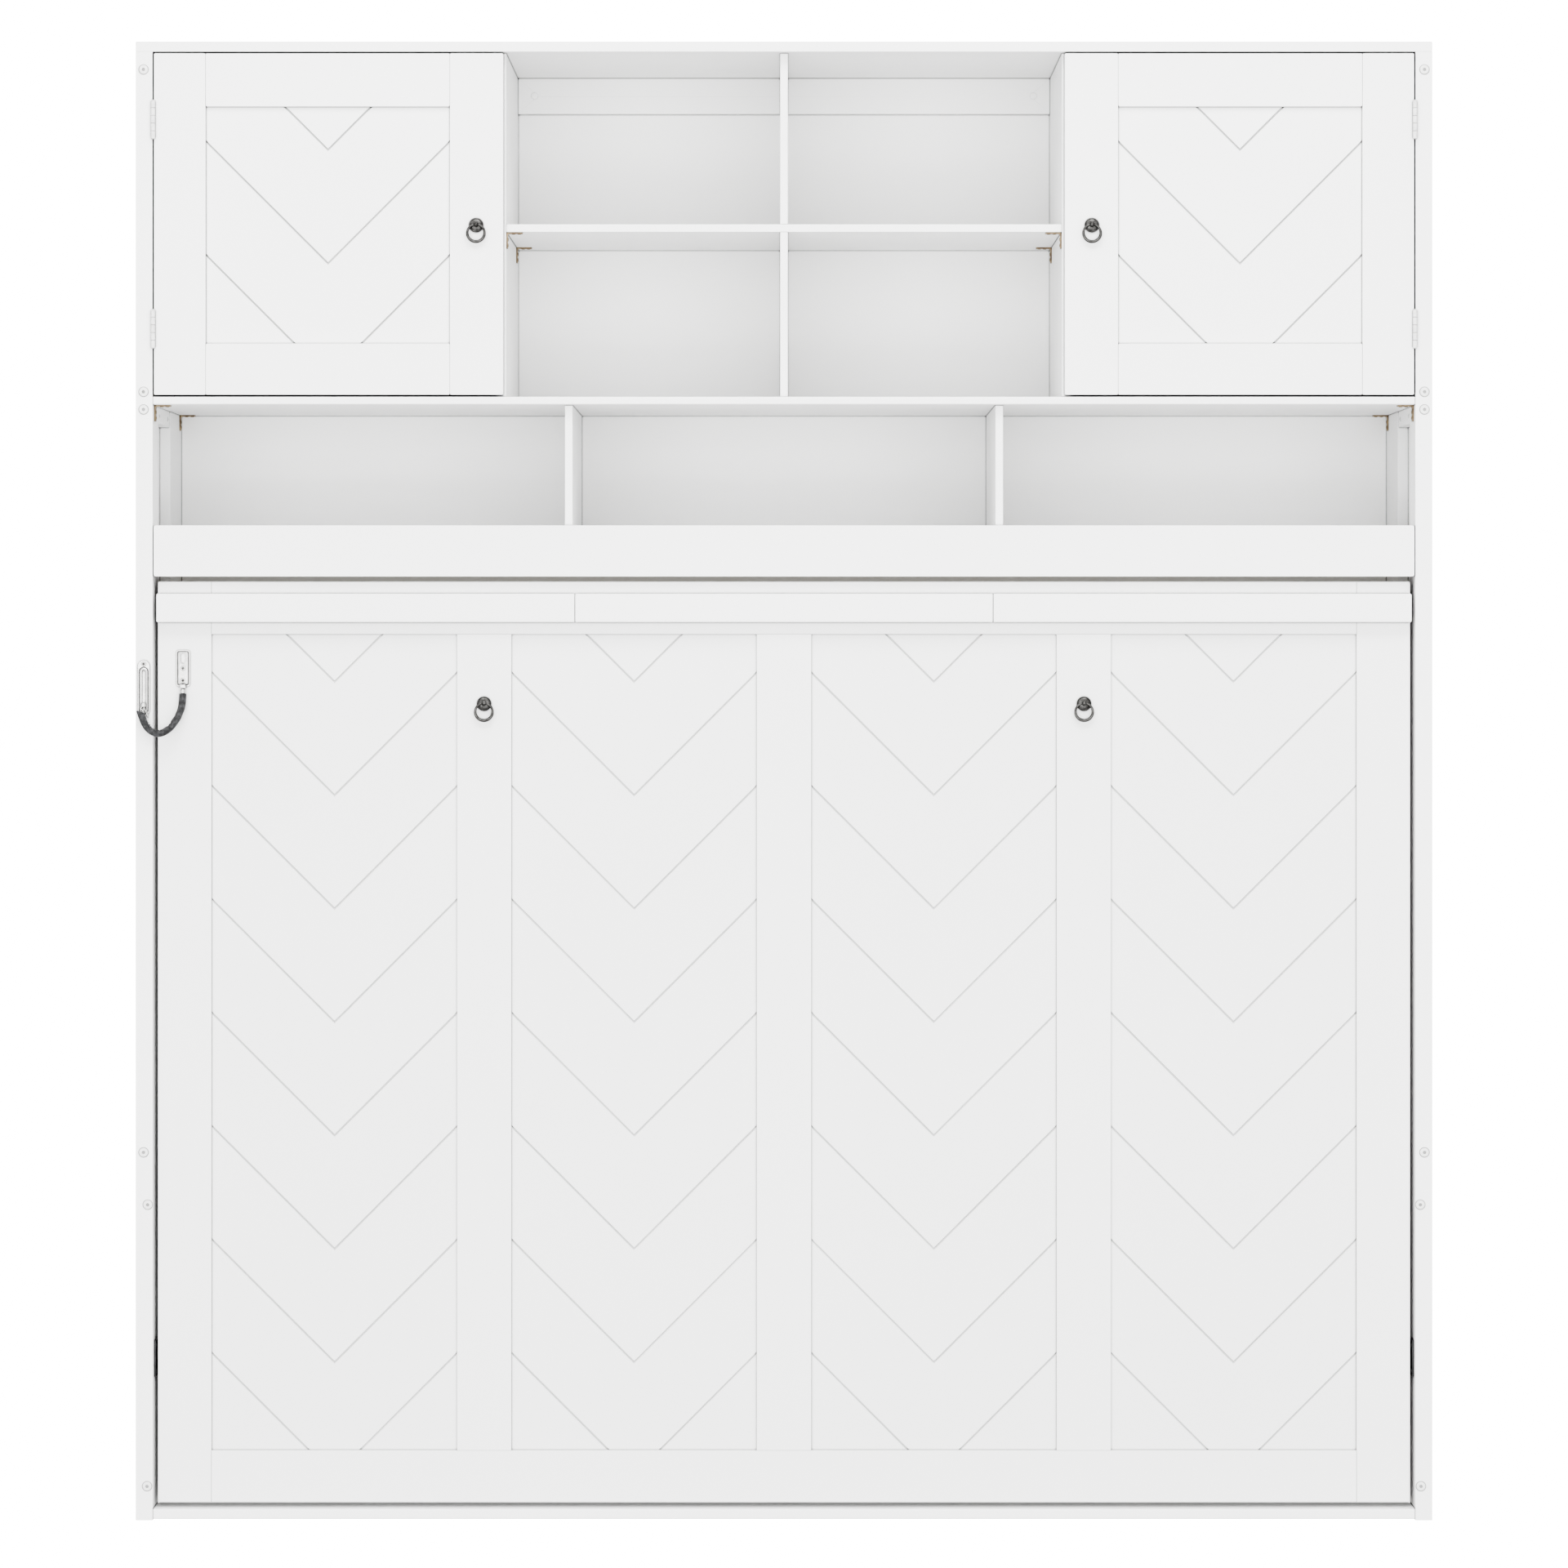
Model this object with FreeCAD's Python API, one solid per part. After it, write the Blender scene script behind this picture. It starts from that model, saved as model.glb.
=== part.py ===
"""Full-size side-tilting wall bed with an upper cabinet, in millimetres.

Frame: +X to the right, +Y to the wall, +Z up, origin on the floor under the middle of the
object. Most depths below are measured back from the front face of the posts, and at() turns
them into Y. The bed stands closed, and folds down about a pin near its lower front edge.
"""
import FreeCAD, Part
import math
import os

Vector = FreeCAD.Vector

# ---- overall size ----
WIDTH = 2020.0
HEIGHT = 2304.0
DEPTH = 420.0

# ---- posts ----
POST_WIDTH = 26.5
FRONT_POST_DEPTH = 80.0
BACK_POST_FRONT = 250.0
POST_JOINT = 1745.0
HALF = WIDTH / 2
INNER = HALF - POST_WIDTH

# ---- upper cabinet ----
TOP_THICKNESS = 16.0
TOP_UNDER = HEIGHT - TOP_THICKNESS
TOP_GAP = (310.0, 312.0)
FLOOR_BOARD = (1738.5, 1750.5)
BACK_PANEL = (411.0, 416.0)
PARTITION = (433.7, 448.7)
SHELF_FRONT = 19.0
MIDDLE_SHELF = (2008.5, 2020.5)
DIVIDER_HALF = 6.0
WALL_RAIL_DEPTH = 395.0
WALL_RAIL_UNDER = 2230.0
SIDE_PANEL = (995.0, 1007.0)
ANCHOR_X = 406.4
ANCHOR_RADIUS = 3.0

# ---- open row ----
APRON = (1470.5, 1550.0)
APRON_HALF = 982.0
APRON_CORNER = 4.0
BOARD_THICKNESS = 18.0
ROW_SHELF = (1534.0, 1546.0)
ROW_DIVIDER_X = 336.0
ROW_BACK_UNDER = 1430.0
TOP_SIDE_RAIL_UNDER = 1713.0

# ---- lower frame ----
FLOOR_RAIL = (2.0, 18.0)
FLOOR_RAIL_DEPTH = 70.0
SIDE_RAIL_INNER = 998.0
LOWER_PANEL = (1001.0, 1007.0)
BOTTOM_RAIL = (20.0, 80.0)
STRUT_RAIL = (470.0, 596.0)
CROSS_RAIL = (60.0, 130.0)
CROSS_RAIL_FRONT = 395.0

# ---- doors ----
DOOR_X = (437.5, 981.5)
DOOR_Z = (1753.5, 2285.5)
DOOR_STILES = (520.5, 901.0)
DOOR_RAILS = (1833.5, 2202.5)
JOINT_LINE = 0.15
PANEL_RECESS = 6.0
PANEL_THICKNESS = 10.0
DOOR_CHEVRON = 2135.5

# ---- chevron grooves ----
GROOVE_PITCH = 177.1
GROOVE_WIDTH = 3.4
GROOVE_ROOT = 0.8
GROOVE_DEPTH = 2.2

# ---- butt hinges ----
HINGE_X = 982.5
HINGE_DEPTH = -3.8
HINGE_RADIUS = 3.5
HINGE_PIN_RADIUS = 1.5
HINGE_RUNNING = 0.05
HINGE_LENGTH = 60.0
HINGE_KNUCKLES = 5
HINGE_CENTRES = (1856.0, 2182.0)
LEAF_THICKNESS = 0.9
LEAF_DEPTHS = (0.2, 17.0)

# ---- ring pulls ----
DOOR_PULL = (479.5, 2017.5)
BED_PULL = (468.0, 1272.0)
PULL_DISC_RADIUS = 11.5
PULL_DISC_THICKNESS = 3.0
PULL_DOME = 1.0
EYE_STANDOFF = 7.0
EYE_RISE = 1.0
EYE_RADIUS = 4.5
EYE_WIDTH = 4.0
EYE_BORE = 2.3
RING_RADIUS = 13.5
RING_WIRE = 2.0

# ---- bed ----
BED_HALF = 977.4
BED_Z = (25.5, 1463.0)
BED_FACE = 16.0
FACE_THICKNESS = 20.0
FACE_ROUNDING = 3.0
BOX_FRONT = BED_FACE + FACE_THICKNESS
BOX_BACK = 166.0
OUTER_STILE = 893.6
MIDDLE_STILE = (425.5, 510.0)
CENTRE_STILE = 42.5
BED_RAILS = (107.0, 1380.8)
BED_CHEVRON = 1306.2
SLAT_COUNT = 14
SLAT_PITCH = 135.0
SLAT_WIDTH = 65.0
SLAT_Z = (45.0, 1410.0)
SLAT_DEPTH = (50.0, 65.0)
LEDGERS = ((43.5, 70.0), (725.0, 765.0), (1385.0, 1412.0))

# ---- pivot ----
PIVOT = (46.0, 250.0)
PIVOT_PIN_RADIUS = 6.0
PIVOT_RUNNING = 0.05
BUSH_RADIUS = 9.0
PIVOT_PLATE = (54.0, 57.0)
PIVOT_PLATE_THICKNESS = 3.0
PIN_REACH = 956.0

# ---- pull-out feet ----
FOOT_Z = (1399.2, 1443.7)
FOOT_SEAM = 0.5
FOOT_SPLIT = 325.75
FOOT_THICKNESS = 20.0
FOOT_POST_Z = 1432.0
FOOT_POST_RADIUS = 10.0
FOOT_POST_WALL = 1.5
FOOT_POST_LENGTH = 270.0
FOOT_POST_OFFSET = 220.0
FOOT_CLEARANCE = 0.1
GUIDE_HALF_WIDTH = 20.0
GUIDE_UNDER = 1418.0
GUIDE_BACK = 120.0

# ---- gas struts ----
STRUT_X = 988.5
STRUT_TOP = (130.0, 574.0)
STRUT_FOOT = (96.0, 140.0)
STRUT_TUBE_RADIUS = 7.5
STRUT_TUBE_LENGTH = 215.0
STRUT_ROD_RADIUS = 4.0
STRUT_BORE_RADIUS = 4.2
STRUT_BORE_LENGTH = 185.0
STRUT_ROD_LENGTH = 235.0
STRUT_EYE_RADIUS = 12.0
STRUT_EYE_THICKNESS = 9.0
STRUT_EYE_GRIP = 8.0
STRUT_NECK = 16.0
STUD_RADIUS = 4.0
STUD_RUNNING = 0.05

# ---- brackets and bolts ----
BRACKET_LEG = 25.0
BRACKET_WIDTH = 16.0
BRACKET_THICKNESS = 2.0
BOLT_HEAD_RADIUS = 7.0
BOLT_HEAD_HEIGHT = 2.0
BOLT_SOCKET = 2.9
BOLT_RADIUS = 3.0
BOLT_LENGTH = 55.0
UPPER_BOLTS = ((997.5, 2260.0), (997.5, 1758.0))
LOWER_BOLTS = ((997.5, 1730.5), (997.5, 573.5), (991.0, 492.0), (992.0, 53.5))

# ---- chain guard ----
TRACK_X = -997.0
TRACK_HALF_WIDTH = 9.75
TRACK_Z = (1252.7, 1340.3)
TRACK_THICKNESS = 2.5
TRACK_SLOT_HALF = 2.8
TRACK_SLOT_Z = (1263.0, 1322.0)
TRACK_SCREW_Z = 1333.0
TRACK_RIB = (4.2, 6.4)
TRACK_RIB_RISE = 1.2
KEEPER_X = -937.5
KEEPER_HALF_WIDTH = 11.2
KEEPER_Z = (1299.0, 1356.0)
KEEPER_THICKNESS = 3.0
KEEPER_CORNER = 4.0
KEEPER_SCREWS = (1308.5, 1327.5)
KEEPER_SLOT = (1338.5, 1348.0)
KEEPER_SLOT_RADIUS = 2.6
KEEPER_PIN_DEPTH = 9.0
KEEPER_PIN_RADIUS = 1.5
FERRULE_RADIUS = 4.5
FERRULE_Z = (1288.0, 1295.0)
BUTTON_Z = 1270.0
BUTTON_RADIUS = 4.5
BUTTON_DEPTHS = (-12.5, -5.0)
BUTTON_NECK_RADIUS = 1.7
SLEEVE_RADIUS = 5.0
CHAIN_LINK_RADIUS = 1.6
SLEEVE_ROUTE = (
    (-937.5, 9.0, 1288.0),
    (-937.5, 9.0, 1272.0),
    (-942.5, 2.5, 1254.5),
    (-952.5, -4.0, 1237.5),
    (-965.0, -8.5, 1227.0),
    (-978.7, -10.5, 1225.6),
    (-989.8, -12.0, 1233.8),
    (-997.0, -12.6, 1246.5),
    (-1001.0, -12.8, 1259.0),
)

# The object reaches from the ring pulls' eyes to the wall, and the origin is midway.
FRONT_MOST = -(EYE_STANDOFF + EYE_RADIUS)
ORIGIN_DEPTH = (FRONT_MOST + DEPTH) / 2


def at(x, depth, z):
    return Vector(x, depth - ORIGIN_DEPTH, z)


def board(x, depth, z):
    """A box from three (low, high) ranges."""
    return Part.makeBox(x[1] - x[0], depth[1] - depth[0], z[1] - z[0], at(x[0], depth[0], z[0]))


def wide(half, depth, z):
    """A board as wide to the left as to the right."""
    return board((-half, half), depth, z)


def rod(start, end, radius):
    return Part.makeCylinder(radius, (end - start).Length, start, end - start)


def along_x(x, depth, z, radius):
    return rod(at(x[0], depth, z), at(x[1], depth, z), radius)


def along_depth(x, depth, z, radius):
    return rod(at(x, depth[0], z), at(x, depth[1], z), radius)


def inset(span, gap):
    """A range that stops short of both its ends."""
    return (span[0] + gap, span[1] - gap)


def mirrored(shape):
    return shape.mirror(Vector(0, 0, 0), Vector(1, 0, 0))


def both_sides(shapes):
    return list(shapes) + [mirrored(shape) for shape in shapes]


def less(shape, cutters):
    return shape.cut(Part.makeCompound(cutters)) if cutters else shape


def save(node, solids):
    Part.makeCompound(list(solids)).exportStep("parts/" + node + ".step")


# ---------------------------------------------------------------- frame of the lower part


def bolt_holes(places):
    return [along_depth(x, (0.0, BOLT_LENGTH), z, BOLT_RADIUS) for x, z in places]


def front_posts():
    lower = board((INNER, HALF), (0.0, FRONT_POST_DEPTH), (0.0, POST_JOINT))
    upper = board((INNER, HALF), (0.0, FRONT_POST_DEPTH), (POST_JOINT, TOP_UNDER))
    save("lower_front_posts", both_sides([less(lower, bolt_holes(LOWER_BOLTS))]))
    save("upper_front_posts", both_sides([less(upper, bolt_holes(UPPER_BOLTS))]))


def back_posts():
    post = board((INNER, HALF), (BACK_POST_FRONT, DEPTH), (0.0, FLOOR_BOARD[0]))
    save("back_posts", both_sides([post]))


def side_rails():
    span = (FRONT_POST_DEPTH, BACK_POST_FRONT)
    rails = [
        board((SIDE_RAIL_INNER, HALF), span, BOTTOM_RAIL),
        board((SIDE_RAIL_INNER, HALF), span, STRUT_RAIL),
        board((INNER + 1.5, HALF), span, (TOP_SIDE_RAIL_UNDER, FLOOR_BOARD[0])),
    ]
    save("side_rails", both_sides(rails))


def side_panels():
    span = (FRONT_POST_DEPTH, BACK_POST_FRONT)
    lower = board(LOWER_PANEL, span, (BOTTOM_RAIL[1], STRUT_RAIL[0]))
    middle = board(LOWER_PANEL, span, (STRUT_RAIL[1], TOP_SIDE_RAIL_UNDER))
    save("lower_side_panels", both_sides([lower, middle]))
    upper = board(SIDE_PANEL, (FRONT_POST_DEPTH, DEPTH), (FLOOR_BOARD[1], TOP_UNDER))
    save("upper_side_panels", both_sides([upper]))


def cross_rails():
    save("front_floor_rail", [wide(INNER, (0.0, FLOOR_RAIL_DEPTH), FLOOR_RAIL)])
    save("back_cross_rail", [wide(INNER, (CROSS_RAIL_FRONT, BACK_PANEL[0]), CROSS_RAIL)])


def frame_bolts():
    bolts = []
    for x, z in UPPER_BOLTS + LOWER_BOLTS:
        head = along_depth(x, (-BOLT_HEAD_HEIGHT, 0.0), z, BOLT_HEAD_RADIUS)
        head = head.makeFillet(BOLT_HEAD_HEIGHT * 0.6, [front_rim(head)])
        shank = along_depth(x, (0.0, BOLT_LENGTH), z, BOLT_RADIUS)
        socket = hexagon_prism(x, z, BOLT_SOCKET, (-BOLT_HEAD_HEIGHT, 0.0))
        bolts.append(head.cut(socket).fuse(shank).removeSplitter())
    save("frame_bolts", both_sides(bolts))


def front_rim(cylinder):
    """The circular edge of a cylinder along the depth that is nearest the front."""
    circles = [edge for edge in cylinder.Edges if edge.isClosed()]
    return min(circles, key=lambda edge: edge.BoundBox.YMin)


def hexagon_prism(x, z, radius, depth):
    corners = []
    for turn in range(7):
        angle = math.radians(60 * turn)
        corners.append(at(x + radius * math.cos(angle), depth[0], z + radius * math.sin(angle)))
    face = Part.Face(Part.makePolygon(corners))
    return face.extrude(Vector(0, depth[1] - depth[0], 0))


# ---------------------------------------------------------------- upper cabinet and open row


def top_boards():
    front = wide(HALF, (0.0, TOP_GAP[0]), (TOP_UNDER, HEIGHT))
    rear = wide(HALF, (TOP_GAP[1], DEPTH), (TOP_UNDER, HEIGHT))
    save("top_boards", [front, rear])


def cabinet_floor():
    """A board that runs between the front posts and out over the side rails behind them."""
    between = wide(INNER, (0.0, FRONT_POST_DEPTH), FLOOR_BOARD)
    behind = wide(SIDE_PANEL[1], (FRONT_POST_DEPTH, BACK_PANEL[0]), FLOOR_BOARD)
    save("cabinet_floor", [between.fuse(behind).removeSplitter()])


def cabinet_inside():
    depth = (SHELF_FRONT, BACK_PANEL[0])
    partition = board(PARTITION, depth, (FLOOR_BOARD[1], TOP_UNDER))
    save("cabinet_partitions", both_sides([partition]))
    save("middle_shelf", [wide(PARTITION[0], depth, MIDDLE_SHELF)])
    lower = wide(DIVIDER_HALF, depth, (FLOOR_BOARD[1], MIDDLE_SHELF[0]))
    upper = wide(DIVIDER_HALF, (SHELF_FRONT, WALL_RAIL_DEPTH), (MIDDLE_SHELF[1], TOP_UNDER))
    save("centre_dividers", [lower, upper])


def cabinet_back():
    anchors = []
    for x in (-ANCHOR_X, ANCHOR_X):
        height = (WALL_RAIL_UNDER + TOP_UNDER) / 2
        anchors.append(along_depth(x, (WALL_RAIL_DEPTH, BACK_PANEL[1]), height, ANCHOR_RADIUS))
    panel = wide(SIDE_PANEL[0], BACK_PANEL, (FLOOR_BOARD[0], TOP_UNDER))
    save("cabinet_back_panel", [less(panel, anchors)])
    depth = (WALL_RAIL_DEPTH, BACK_PANEL[0])
    height = (WALL_RAIL_UNDER, TOP_UNDER)
    centre = wide(PARTITION[0], depth, height)
    side = board((PARTITION[1], SIDE_PANEL[0]), depth, height)
    save("wall_rail", [less(centre, anchors)] + both_sides([side]))


def open_row():
    apron = wide(APRON_HALF, (0.0, BOARD_THICKNESS), APRON)
    corners = [edge for edge in apron.Edges if abs(edge.tangentAt(0).y) > 0.9]
    save("apron", [apron.makeFillet(APRON_CORNER, corners)])
    depth = (BOARD_THICKNESS, BACK_PANEL[0])
    save("row_shelf", [wide(INNER, depth, ROW_SHELF)])
    across = (ROW_DIVIDER_X - DIVIDER_HALF, ROW_DIVIDER_X + DIVIDER_HALF)
    divider = board(across, depth, (ROW_SHELF[1], FLOOR_BOARD[0]))
    save("row_dividers", both_sides([divider]))
    save("row_back_panel", [wide(INNER, BACK_PANEL, (ROW_BACK_UNDER, FLOOR_BOARD[0]))])


def bracket(wall, depth, under):
    """An L bracket in the corner between a wall at x = wall and a board above it."""
    inward = wall - BRACKET_LEG
    span = (depth, depth + BRACKET_WIDTH)
    flat = board((inward, wall), span, (under - BRACKET_THICKNESS, under))
    upright = board((wall - BRACKET_THICKNESS, wall), span, (under - BRACKET_LEG, under))
    shape = flat.fuse(upright).removeSplitter()
    middle = depth + BRACKET_WIDTH / 2
    holes = []
    for reach in (BRACKET_LEG * 0.42, BRACKET_LEG * 0.78):
        below = at(wall - reach, middle, under - BRACKET_THICKNESS)
        holes.append(rod(below, at(wall - reach, middle, under), 1.9))
        holes.append(along_x((wall - BRACKET_THICKNESS, wall), middle, under - reach, 1.9))
    return less(shape, holes)


def shelf_brackets():
    brackets = []
    for depth in (25.0, 343.0):
        brackets.append(bracket(PARTITION[0], depth, MIDDLE_SHELF[0]))
    for depth in (22.0, 382.0):
        brackets.append(bracket(INNER, depth, FLOOR_BOARD[0]))
    save("shelf_brackets", both_sides(brackets))


# ---------------------------------------------------------------- grooved panels


def chevron(centre, apex, reach, depth, width):
    """The closed outline of a V of one width, with its arms at 45 degrees."""
    slack = width / math.sqrt(2)
    heights = ((-reach, apex + reach), (0.0, apex), (reach, apex + reach))
    upper = [at(centre + x, depth, z + slack) for x, z in heights]
    lower = [at(centre + x, depth, z - slack) for x, z in reversed(heights)]
    return Part.makePolygon(upper + lower + upper[:1])


def grooved_panel(x, z, front, top_apex):
    """A flat panel whose front face has V grooves one below another."""
    centre = (x[0] + x[1]) / 2
    reach = x[1] - x[0]
    panel = board(x, (front, front + PANEL_THICKNESS), z)
    slope = (GROOVE_WIDTH - GROOVE_ROOT) / GROOVE_DEPTH
    grooves = []
    apex = top_apex
    while apex + reach / 2 > z[0]:
        wide_end = chevron(centre, apex, reach, front - 1.0, GROOVE_WIDTH + slope)
        root_end = chevron(centre, apex, reach, front + GROOVE_DEPTH, GROOVE_ROOT)
        grooves.append(Part.makeLoft([wide_end, root_end], True, True))
        apex -= GROOVE_PITCH
    for groove in grooves:
        panel = panel.cut(groove)
    return panel


# ---------------------------------------------------------------- doors


def right_door_frame():
    depth = (0.0, BOARD_THICKNESS)
    return [
        board((DOOR_X[0], DOOR_STILES[0]), depth, DOOR_Z),
        board((DOOR_STILES[1], DOOR_X[1]), depth, DOOR_Z),
        board(inset(DOOR_STILES, JOINT_LINE), depth, (DOOR_Z[0], DOOR_RAILS[0])),
        board(inset(DOOR_STILES, JOINT_LINE), depth, (DOOR_RAILS[1], DOOR_Z[1])),
    ]


def knuckle(index, centre, bore):
    """One of a hinge's knuckles, counted from the bottom, with the bore given."""
    length = HINGE_LENGTH / HINGE_KNUCKLES
    low = centre - HINGE_LENGTH / 2 + index * length
    base = at(HINGE_X, HINGE_DEPTH, low)
    tip = at(HINGE_X, HINGE_DEPTH, low + length)
    return rod(base, tip, HINGE_RADIUS).cut(rod(base, tip, bore)), (low, low + length)


def hinge_leaf(centre, knuckles, across):
    """A hinge leaf in the door's gap, with its own knuckles."""
    bore = HINGE_PIN_RADIUS + HINGE_RUNNING
    height = (centre - HINGE_LENGTH / 2, centre + HINGE_LENGTH / 2)
    leaf = board(across, LEAF_DEPTHS, height)
    pin_space = rod(at(HINGE_X, HINGE_DEPTH, height[0]), at(HINGE_X, HINGE_DEPTH, height[1]), bore)
    for index in knuckles:
        barrel, span = knuckle(index, centre, bore)
        tab = board(across, (HINGE_DEPTH, LEAF_DEPTHS[0]), span)
        leaf = leaf.fuse(barrel).fuse(tab.cut(pin_space))
    return leaf.removeSplitter()


def right_door_leaves():
    across = (DOOR_X[1], DOOR_X[1] + LEAF_THICKNESS)
    return [hinge_leaf(centre, (1, 3), across) for centre in HINGE_CENTRES]


def hinge_post_parts():
    across = (INNER - LEAF_THICKNESS, INNER)
    leaves = [hinge_leaf(centre, (0, 2, 4), across) for centre in HINGE_CENTRES]
    save("hinge_post_leaves", both_sides(leaves))
    pins = []
    for centre in HINGE_CENTRES:
        low = at(HINGE_X, HINGE_DEPTH, centre - HINGE_LENGTH / 2)
        high = at(HINGE_X, HINGE_DEPTH, centre + HINGE_LENGTH / 2)
        pins.append(rod(low, high, HINGE_PIN_RADIUS))
    save("hinge_pins", both_sides(pins))


def pull_base(x, z, face):
    """A domed disc on the face, with an eye in front of it that holds the ring."""
    disc = along_depth(x, (face - PULL_DISC_THICKNESS, face), z, PULL_DISC_RADIUS)
    radius = (PULL_DISC_RADIUS ** 2 + PULL_DOME ** 2) / (2 * PULL_DOME)
    ball = Part.makeSphere(radius, at(x, face - PULL_DISC_THICKNESS - PULL_DOME + radius, z))
    front = (face - PULL_DISC_THICKNESS - PULL_DOME - 1.0, face)
    dome = along_depth(x, front, z, PULL_DISC_RADIUS).common(ball)
    eye_depth = face - EYE_STANDOFF
    eye_height = z + EYE_RISE
    across = (x - EYE_WIDTH / 2, x + EYE_WIDTH / 2)
    nose = along_x(across, eye_depth, eye_height, EYE_RADIUS)
    neck = board(across, (eye_depth, face), (eye_height - EYE_RADIUS, eye_height + EYE_RADIUS))
    shape = disc.fuse(dome).fuse(nose).fuse(neck)
    return shape.cut(along_x(across, eye_depth, eye_height, EYE_BORE)).removeSplitter()


def pull_ring(x, z, face):
    """The ring as it hangs, its wire through the eye."""
    centre = at(x, face - EYE_STANDOFF, z + EYE_RISE - RING_RADIUS)
    return Part.makeTorus(RING_RADIUS, RING_WIRE, centre, Vector(0, 1, 0))


def doors():
    panel = grooved_panel(DOOR_STILES, DOOR_RAILS, PANEL_RECESS, DOOR_CHEVRON)
    pieces = {
        "door_frame": right_door_frame(),
        "door_panel": [panel],
        "door_hinge_leaves": right_door_leaves(),
        "door_pull_base": [pull_base(*DOOR_PULL, 0.0)],
        "door_ring": [pull_ring(*DOOR_PULL, 0.0)],
    }
    for name, solids in pieces.items():
        save("right_" + name, solids)
        save("left_" + name, [mirrored(solid) for solid in solids])


# ---------------------------------------------------------------- bed


def foot_centres():
    side = (FOOT_SPLIT + BED_HALF) / 2
    return (("left", -side), ("centre", 0.0), ("right", side))


def foot_posts_x():
    offsets = (-FOOT_POST_OFFSET, FOOT_POST_OFFSET)
    return [centre + offset for name, centre in foot_centres() for offset in offsets]


def rounded_outside(shape):
    """Rounds the edges of a face board that are on the outline of the bed's face."""
    limits = ((BED_HALF, BED_Z[0]), (BED_HALF, BED_Z[1]))
    front = at(0.0, BED_FACE, 0.0).y
    chosen = []
    for edge in shape.Edges:
        middle = edge.BoundBox.Center
        direction = edge.tangentAt(edge.FirstParameter)
        side = abs(abs(middle.x) - BED_HALF) < 0.01
        end = min(abs(middle.z - limit[1]) for limit in limits) < 0.01
        at_corner = abs(direction.y) > 0.9 and side and end
        along_front = abs(middle.y - front) < 0.01 and (side or end)
        if at_corner or along_front:
            chosen.append(edge)
    return shape.makeFillet(FACE_ROUNDING, chosen)


def face_frame():
    depth = (BED_FACE, BOX_FRONT)
    rail_half = OUTER_STILE - JOINT_LINE
    stile_z = inset(BED_RAILS, JOINT_LINE)
    holes = []
    for x in foot_posts_x():
        holes.append(along_depth(x, depth, FOOT_POST_Z, FOOT_POST_RADIUS + FOOT_CLEARANCE))
    top_rail = rounded_outside(wide(rail_half, depth, (BED_RAILS[1], BED_Z[1])))
    bottom_rail = rounded_outside(wide(rail_half, depth, (BED_Z[0], BED_RAILS[0])))
    outer = rounded_outside(board((OUTER_STILE, BED_HALF), depth, BED_Z))
    middle = board(MIDDLE_STILE, depth, stile_z)
    centre = wide(CENTRE_STILE, depth, stile_z)
    pieces = both_sides([outer, middle]) + [centre, bottom_rail, less(top_rail, holes)]
    save("bed_face_frame", pieces)


def face_panels():
    front = BED_FACE + PANEL_RECESS
    spans = ((CENTRE_STILE, MIDDLE_STILE[0]), (MIDDLE_STILE[1], OUTER_STILE))
    panels = [grooved_panel(span, BED_RAILS, front, BED_CHEVRON) for span in spans]
    save("bed_face_panels", both_sides(panels))


def box_rails():
    depth = (BOX_FRONT, BOX_BACK)
    inner = BED_HALF - BOARD_THICKNESS
    side = board((inner, BED_HALF), depth, BED_Z)
    side = side.cut(along_x((inner, BED_HALF), PIVOT[0], PIVOT[1], BUSH_RADIUS))
    far = wide(inner - JOINT_LINE, depth, (BED_Z[1] - BOARD_THICKNESS, BED_Z[1]))
    near = wide(inner - JOINT_LINE, depth, (BED_Z[0], BED_Z[0] + BOARD_THICKNESS))
    save("bed_box_rails", both_sides([side]) + [far, near])
    bush = along_x((inner, BED_HALF), PIVOT[0], PIVOT[1], BUSH_RADIUS)
    bore = along_x((inner, BED_HALF), PIVOT[0], PIVOT[1], PIVOT_PIN_RADIUS + PIVOT_RUNNING)
    save("pivot_bushes", both_sides([bush.cut(bore)]))
    save("slat_ledgers", [wide(inner, (BOX_FRONT, SLAT_DEPTH[0]), z) for z in LEDGERS])


def bed_slats():
    slats = []
    for index in range(SLAT_COUNT):
        x = (index - (SLAT_COUNT - 1) / 2) * SLAT_PITCH
        slats.append(board((x - SLAT_WIDTH / 2, x + SLAT_WIDTH / 2), SLAT_DEPTH, SLAT_Z))
    save("bed_slats", slats)


def leg_guides():
    guides = []
    depth = (BOX_FRONT, GUIDE_BACK)
    for x in foot_posts_x():
        across = (x - GUIDE_HALF_WIDTH, x + GUIDE_HALF_WIDTH)
        block = board(across, depth, (GUIDE_UNDER, BED_Z[1] - BOARD_THICKNESS))
        bore = along_depth(x, depth, FOOT_POST_Z, FOOT_POST_RADIUS + FOOT_CLEARANCE)
        guides.append(block.cut(bore))
    save("leg_guides", guides)


def feet():
    depth = (BED_FACE - FOOT_THICKNESS, BED_FACE)
    half_width = (BED_HALF - FOOT_SPLIT) / 2 - FOOT_SEAM / 2
    for name, centre in foot_centres():
        half = FOOT_SPLIT - FOOT_SEAM if name == "centre" else half_width
        bar = board((centre - half, centre + half), depth, FOOT_Z)
        save(name + "_foot_bar", [bar])
        posts = []
        for x in (centre - FOOT_POST_OFFSET, centre + FOOT_POST_OFFSET):
            span = (BED_FACE, BED_FACE + FOOT_POST_LENGTH)
            tube = along_depth(x, span, FOOT_POST_Z, FOOT_POST_RADIUS)
            bore = along_depth(x, span, FOOT_POST_Z, FOOT_POST_RADIUS - FOOT_POST_WALL)
            posts.append(tube.cut(bore))
        save(name + "_foot_posts", posts)


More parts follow.
